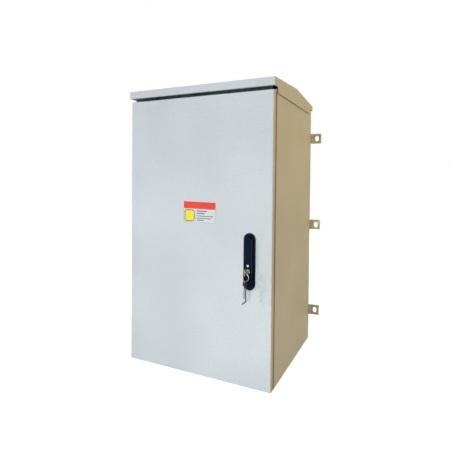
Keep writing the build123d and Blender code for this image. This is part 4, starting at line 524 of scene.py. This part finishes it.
low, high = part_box("flasher_unit")
for step in (-1, 1):
    x, z = (low.x + high.x) / 2 + step * FLASHER_X * MM, (low.z + high.z) / 2 + FLASHER_Z * MM
    dome(lens_mesh, x, low.y, z, *LARGE_LENS, AMBER)
piece("unit_lenses", lens_mesh, [RED_LENS, AMBER_LENS, GREEN_LENS], "cabinet")


def display_glass():
    """A liquid-crystal display: yellow-green behind glossy glass, with fine rubbing marks."""
    material, tree, shader, place = blank("lcd_glass", IOR=1.52)
    tint(tree, shader, noise(tree, place, 40.0), "#8ea24a", "#9aae55")
    gloss(tree, shader, noise(tree, place, 4.0), 0.06, 0.12)
    return material


CELL_ROWS, CELL_COLUMNS = 4, 20
CELL_PITCH, LINE_PITCH = 5.0 * MM, 8.0 * MM
CELL_SIZE, DISPLAY_SIZE = (3.4 * MM, 5.6 * MM), (112 * MM, 38 * MM)
DISPLAY_X, DISPLAY_Z = 82 * MM, 49 * MM

screen_mesh = bmesh.new()
screen_x, screen_z = case_low.x + DISPLAY_X, case_high.z - DISPLAY_Z
screen_face = panel_face + 1.0 * MM
tablet(screen_mesh, screen_x, screen_face, screen_z, *DISPLAY_SIZE, 2 * MM, 0.2 * MM, 0)
for row in range(CELL_ROWS):
    for column in range(CELL_COLUMNS):
        x = screen_x + (column - (CELL_COLUMNS - 1) / 2) * CELL_PITCH
        z = screen_z - (row - (CELL_ROWS - 1) / 2) * LINE_PITCH
        tablet(screen_mesh, x, screen_face - 0.2 * MM, z, *CELL_SIZE, 0.3 * MM, 0.05 * MM, 1)
CELL_INK = moulded("liquid_crystal_cell", "#7d9042", "#869a49", 2.0, (0.1, 0.15))
piece("display_screen", screen_mesh, [display_glass(), CELL_INK], "cabinet")

KEY_COLUMNS, KEY_ROWS = 5, 4
KEY_PITCH_X, KEY_PITCH_Z = 15.0 * MM, 11.2 * MM
KEY_SIZE, KEYPAD_SIZE = (12 * MM, 8.4 * MM), (78 * MM, 48 * MM)
KEYPAD_X = 188 * MM

keypad_mesh = bmesh.new()
keypad_x, keypad_z = case_low.x + KEYPAD_X, case_high.z - DISPLAY_Z
tablet(keypad_mesh, keypad_x, panel_face, keypad_z, *KEYPAD_SIZE, 3 * MM, 0.4 * MM, 0)
for row in range(KEY_ROWS):
    for column in range(KEY_COLUMNS):
        x = keypad_x + (column - (KEY_COLUMNS - 1) / 2) * KEY_PITCH_X
        z = keypad_z - (row - (KEY_ROWS - 1) / 2) * KEY_PITCH_Z
        layer = 2 if column == KEY_COLUMNS - 1 else 1
        tablet(keypad_mesh, x, panel_face - 0.4 * MM, z, *KEY_SIZE, 1.6 * MM, 0.9 * MM, layer)
KEYPAD = [
    moulded("dark_grey_silicone", "#2b2e31", "#34373a"),
    moulded("pale_grey_silicone", "#b4b7b8", "#bfc2c3"),
    moulded("blue_silicone", "#2f4f86", "#375a96"),
]
piece("keypad", keypad_mesh, KEYPAD, "cabinet")


# Fastener heads with their slots, and the marks on the rail modules

HEAD_STEPS = 6


def cut_head(mesh, place, axis, radius, height, cut, sectors, tilt=0.0):
    """A screw head parted by one slot (two sectors) or a cross (four), facing -y, +y or +z."""
    edge = math.asin(cut / 2 / radius)
    span = 2 * math.pi / sectors
    for sector in range(sectors):
        start = tilt + sector * span
        arc = [start + edge + (span - 2 * edge) * n / HEAD_STEPS for n in range(HEAD_STEPS + 1)]
        outline = [(radius * math.cos(t), radius * math.sin(t)) for t in arc]
        if sectors == 4:
            reach = cut / 2 * math.sqrt(2)
            outline.append((reach * math.cos(start + span / 2), reach * math.sin(start + span / 2)))
        rings = []
        for out, share in ((0.0, 1.0), (height * 0.6, 1.0), (height, 0.93)):
            ring = []
            for u, v in outline:
                local = {
                    "-y": (u, -out, v / share), "+y": (u, out, v / share), "+z": (u, v / share, out),
                }[axis]
                ring.append(tuple(p + q for p, q in zip(place, local)))
            rings.append(ring)
        loft(mesh, rings)


# Radius, height and slot width of each head
SLICE_SCREW = (2.5 * MM, 1.4 * MM, 0.7 * MM)
BREAKER_SCREW = (2.9 * MM, 1.5 * MM, 0.7 * MM)
RELAY_SCREW = (2.6 * MM, 1.2 * MM, 0.7 * MM)
BAR_SCREW = (3.0 * MM, 0.9 * MM, 0.8 * MM)
GLAND_SCREW = (4.5 * MM, 0.5 * MM, 1.1 * MM)
LUG_BOLT = (5.0 * MM, 0.6 * MM, 1.2 * MM)

SLICE_PITCH, SLICE_COUNT = 8.0 * MM, 32
WHITE_MARKER = moulded("white_polyamide", "#d9dbd8", "#e3e5e2")

screw_mesh, marker_mesh = bmesh.new(), bmesh.new()
low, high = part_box("terminal_blocks")
middle_x, middle_z = (low.x + high.x) / 2, (low.z + high.z) / 2
for n in range(SLICE_COUNT):
    x = middle_x + (n - (SLICE_COUNT - 1) / 2) * SLICE_PITCH
    for side in (-1, 1):
        place = (x, high.y - 23.2 * MM, middle_z + side * 16.5 * MM)
        cut_head(screw_mesh, place, "-y", *SLICE_SCREW, 2, n * 1.1 + side)
    tablet(marker_mesh, x, low.y, middle_z, 6.4 * MM, 7.5 * MM, 0.5 * MM, 0.5 * MM)

low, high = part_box("main_breaker")
middle_x, middle_z = (low.x + high.x) / 2, (low.z + high.z) / 2
for side in (-1, 1):
    for level in (-1, 1):
        place = (middle_x + side * 9 * MM, low.y + 17.5 * MM, middle_z + level * 33 * MM)
        cut_head(screw_mesh, place, "-y", *BREAKER_SCREW, 4, 0.4 * side + level)
tablet(marker_mesh, middle_x, low.y, middle_z + 18 * MM, 31 * MM, 5 * MM, 0.8 * MM, 0.3 * MM)

MODULE, ARRESTERS, RELAYS = 18.0 * MM, 3, 3
low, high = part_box("rail_modules")
module_face = high.y - 60 * MM
flag_mesh = bmesh.new()
for n in range(ARRESTERS):
    x = low.x + MODULE * (n + 0.5)
    tablet(marker_mesh, x, module_face, middle_z + 8 * MM, 13 * MM, 16 * MM, 0.8 * MM, 0.3 * MM)
    tablet(flag_mesh, x, module_face + 1.0 * MM, middle_z - 12 * MM, 5.4 * MM, 5.4 * MM, 0.3 * MM, 0.4 * MM)
piece("arrester_flags", flag_mesh, GREEN_LENS, "cabinet")

SMOKED_COVER = moulded("smoked_polycarbonate", "#3a2f26", "#453a30", 6.0, (0.06, 0.12))
RELAY_START, RELAY_PITCH, RELAY_WIDTH = 16 * MM, 30.0 * MM, 27.0 * MM
SOCKET_DEPTH = 28 * MM
COVER_WIDTH, COVER_HEIGHT = 22 * MM, 34 * MM
COVER_SKIN = 0.25 * MM
cover_mesh = bmesh.new()
for n in range(RELAYS):
    x = low.x + ARRESTERS * MODULE + RELAY_START + RELAY_PITCH * n + RELAY_WIDTH / 2
    socket_y, terminal_z = high.y - SOCKET_DEPTH, middle_z - 27 * MM
    rings = []
    for y, inset in ((low.y + 30 * MM, 0.0), (low.y + 1.2 * MM, 0.0),
                     (low.y + 0.3 * MM, 0.5), (low.y - COVER_SKIN, 1.4)):
        wide = COVER_WIDTH + 2 * COVER_SKIN - inset * MM
        tall = COVER_HEIGHT + 2 * COVER_SKIN - inset * MM
        points = rounded_outline(wide, tall, 2.2 * MM)
        rings.append([(x + p.x, y, middle_z + p.y) for p in points])
    loft(cover_mesh, rings)
    tablet(marker_mesh, x, socket_y, middle_z + 27 * MM, 18 * MM, 6 * MM, 0.8 * MM, 0.4 * MM)
    for level in (-1, 1):
        for side, tilt in ((-1, 0.5 * n + level), (1, 0.9 * n - level)):
            place = (x + side * 7 * MM, socket_y, terminal_z + level * 5 * MM)
            cut_head(screw_mesh, place, "-y", *RELAY_SCREW, 4, tilt)
piece("relay_covers", cover_mesh, SMOKED_COVER, "cabinet")

SCALE_MARKS, SCALE_START, SCALE_SPAN = 11, -135, 270
SCALE_RINGS = (12.2, 13.4)
low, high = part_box("thermostat")
dial_low, dial_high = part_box("thermostat_dial")
dial_x, dial_z = (dial_low.x + dial_high.x) / 2, (dial_low.z + dial_high.z) / 2
scale_mesh = bmesh.new()
for n in range(SCALE_MARKS):
    turn = math.radians(SCALE_START + SCALE_SPAN * n / (SCALE_MARKS - 1))
    for reach in SCALE_RINGS:
        spot = Vector((math.sin(turn), math.cos(turn))) * reach * MM
        tablet(scale_mesh, dial_x + spot.x, low.y, dial_z + spot.y, 0.9 * MM, 0.9 * MM, 0.3 * MM, 0.15 * MM)
piece("dial_scale", scale_mesh, WHITE_MARKER, "cabinet")

BAR_SCREWS, BAR_PITCH, BAR_LENGTH = 10, 11.0 * MM, 120.0 * MM
low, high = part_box("earth_bars")
brass_mesh = bmesh.new()
for start in (low.x, high.x - BAR_LENGTH):
    for n in range(BAR_SCREWS):
        x = start + BAR_LENGTH / 2 + (n - (BAR_SCREWS - 1) / 2) * BAR_PITCH
        cut_head(brass_mesh, (x, low.y, (low.z + high.z) / 2), "-y", *BAR_SCREW, 2, 0.7 * n)
piece("bar_screws", brass_mesh, FINISHES["brass_bar"], "cabinet")

plate_low, plate_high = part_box("gland_plate")
GLAND_INSET, GLAND_HEAD = 9.0 * MM, 2.6 * MM
for across in (0.0, 0.5, 1.0):
    for along in (0.0, 1.0):
        x = plate_low.x + GLAND_INSET + across * (plate_high.x - plate_low.x - 2 * GLAND_INSET)
        y = plate_low.y + GLAND_INSET + along * (plate_high.y - plate_low.y - 2 * GLAND_INSET)
        place = (x, y, plate_high.z + GLAND_HEAD)
        cut_head(screw_mesh, place, "+z", *GLAND_SCREW, 4, across + along)

lug_low, lug_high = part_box("mounting_lugs")
bolt_low, bolt_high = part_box("lug_fasteners")
LUG_TALL, BOLT_REACH, BOLT_INSET = 37.0 * MM, 10.0 * MM, 5.4 * MM
for x in (bolt_low.x + BOLT_INSET, bolt_high.x - BOLT_INSET):
    for middle in (lug_low.z + LUG_TALL / 2, (lug_low.z + lug_high.z) / 2, lug_high.z - LUG_TALL / 2):
        for side in (-1, 1):
            place = (x, bolt_high.y, middle + side * BOLT_REACH)
            cut_head(screw_mesh, place, "+y", *LUG_BOLT, 4, side + middle * 30)
piece("driver_heads", screw_mesh, FASTENER, "cabinet")
piece("marker_plates", marker_mesh, WHITE_MARKER, "cabinet")


# Lamp diffuser: an opal tube half with fine prisms along it

PRISMS = 26
RIDGE, GROOVE = 0.5, 0.15
END_STEP = 1 * MM
low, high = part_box("cabinet_lamp")
LENS_RADIUS, LENS_INSET = 14.0 * MM, 12.0 * MM
axis_y, axis_z = (low.y + high.y) / 2, low.z + LENS_RADIUS
diffuser_mesh = bmesh.new()
rings = []
for x, share in ((low.x + LENS_INSET - END_STEP, 0.9), (low.x + LENS_INSET, 1.0),
                 (high.x - LENS_INSET, 1.0), (high.x - LENS_INSET + END_STEP, 0.9)):
    ring = []
    for n in range(PRISMS + 1):
        angle = math.pi * n / PRISMS
        reach = (LENS_RADIUS + (RIDGE if n % 2 else GROOVE) * MM) * share
        ring.append((x, axis_y + reach * math.cos(angle), axis_z - reach * math.sin(angle)))
    rings.append(ring)
loft(diffuser_mesh, rings)
OPAL = moulded("opal_acrylic", "#e2e4e0", "#eaebe7", 2.0, (0.2, 0.3))
piece("lamp_diffuser", diffuser_mesh, OPAL, "cabinet", smooth=False)


# Stage, light and camera

FLOOR_REACH = 12.0
FLOOR_LIFT = 0.92
AMBIENT = 0.11
floor_mesh = bpy.data.meshes.new("floor")
corners = [(x * FLOOR_REACH, y * FLOOR_REACH, 0) for x, y in ((-1, -1), (1, -1), (1, 1), (-1, 1))]
floor_mesh.from_pydata(corners, [], [(0, 1, 2, 3)])
floor = bpy.data.objects.new("floor", floor_mesh)
bpy.context.scene.collection.objects.link(floor)


def seen_directly(tree):
    """1 for rays from the camera or by way of metal and glass, 0 for the light that falls on the object."""
    path = add(tree, "ShaderNodeLightPath").outputs
    glossy = add(tree, "ShaderNodeMath", {0: path["Is Glossy Ray"], 1: path["Is Transmission Ray"]},
                 operation="MAXIMUM")
    return add(tree, "ShaderNodeMath", {0: path["Is Camera Ray"], 1: glossy.outputs[0]},
               operation="MAXIMUM").outputs[0]


def studio_floor():
    """Matt white sheet, lifted to white where no shadow falls for the camera and for metal and glass."""
    material = bpy.data.materials.new("studio_floor")
    material.use_nodes = True
    tree = material.node_tree
    shader = tree.nodes["Principled BSDF"]
    shader.inputs["Base Color"].default_value = linear("#8c8c8a")
    shader.inputs["Roughness"].default_value = 0.9
    lift = add(tree, "ShaderNodeMath", {0: seen_directly(tree), 1: FLOOR_LIFT}, operation="MULTIPLY")
    glow = add(tree, "ShaderNodeEmission", {"Color": (1, 1, 1, 1), "Strength": lift.outputs[0]})
    both = add(tree, "ShaderNodeAddShader", {0: shader.outputs["BSDF"], 1: glow.outputs["Emission"]})
    tree.links.new(both.outputs["Shader"], tree.nodes["Material Output"].inputs["Surface"])
    return material


floor_mesh.materials.append(studio_floor())

world = bpy.data.worlds.new("studio")
world.use_nodes = True
bpy.context.scene.world = world
sky = world.node_tree
seen = seen_directly(sky)
strength = add(sky, "ShaderNodeMapRange", {"Value": seen, "To Min": AMBIENT, "To Max": 1.0})
colour = add(sky, "ShaderNodeMix", {0: seen, MIX_A: linear("#eef1f5"), MIX_B: (1, 1, 1, 1)}, data_type="RGBA")
background = sky.nodes["Background"]
sky.links.new(colour.outputs[MIX_RESULT], background.inputs["Color"])
sky.links.new(strength.outputs["Result"], background.inputs["Strength"])


def softbox(name, place, aim, size, watts, hex_colour):
    """A square lamp with a soft edge, aimed at a point."""
    lamp = bpy.data.lights.new(name, "AREA")
    lamp.size = size
    lamp.energy = watts
    lamp.color = linear(hex_colour)[:3]
    thing = bpy.data.objects.new(name, lamp)
    bpy.context.scene.collection.objects.link(thing)
    thing.location = place
    thing.rotation_euler = (Vector(aim) - Vector(place)).to_track_quat("-Z", "Y").to_euler()
    thing.visible_camera = False


softbox("key_lamp", (-3.5, -3.15, 2.1), (0.05, -0.2, 0.36), 0.35, 70.0, "#f6faff")
softbox("front_softbox", (0.3, -3.1, 0.65), (0.05, -0.2, 0.3), 1.5, 30.0, "#fdfdff")
softbox("low_fill_lamp", (0.2, -1.45, 0.22), (0.1, -0.2, 0.25), 0.4, 7.0, "#fdfdff")
softbox("warm_side_lamp", (2.3, 0.35, 1.25), (0.25, 0.0, 0.5), 1.2, 25.0, "#ffcc60")
softbox("back_softbox", (-1.3, 3.0, 1.5), (0.0, 0.2, 0.45), 1.6, 60.0, "#fdfdff")

CAMERA_PLACE = (0.6012, -1.1979, 0.6040)
YAW, PITCH, ROLL = -0.42, -0.02, 0.01
LENS_LENGTH, SENSOR = 29.57, 36.0
SHIFT = (-0.0456, -0.0837)
camera_data = bpy.data.cameras.new("camera")
camera_data.lens = LENS_LENGTH
camera_data.sensor_width = SENSOR
camera_data.shift_x, camera_data.shift_y = SHIFT
camera = bpy.data.objects.new("camera", camera_data)
bpy.context.scene.collection.objects.link(camera)
forward = Vector((math.sin(YAW) * math.cos(PITCH), math.cos(YAW) * math.cos(PITCH), math.sin(PITCH)))
level = Vector((math.cos(YAW), -math.sin(YAW), 0))
upright = level.cross(forward)
right = math.cos(ROLL) * level + math.sin(ROLL) * upright
up = -math.sin(ROLL) * level + math.cos(ROLL) * upright
turn = Matrix((right, up, -forward)).transposed().to_4x4()
camera.matrix_world = Matrix.Translation(CAMERA_PLACE) @ turn
bpy.context.scene.camera = camera
bpy.context.scene.view_settings.view_transform = "Standard"
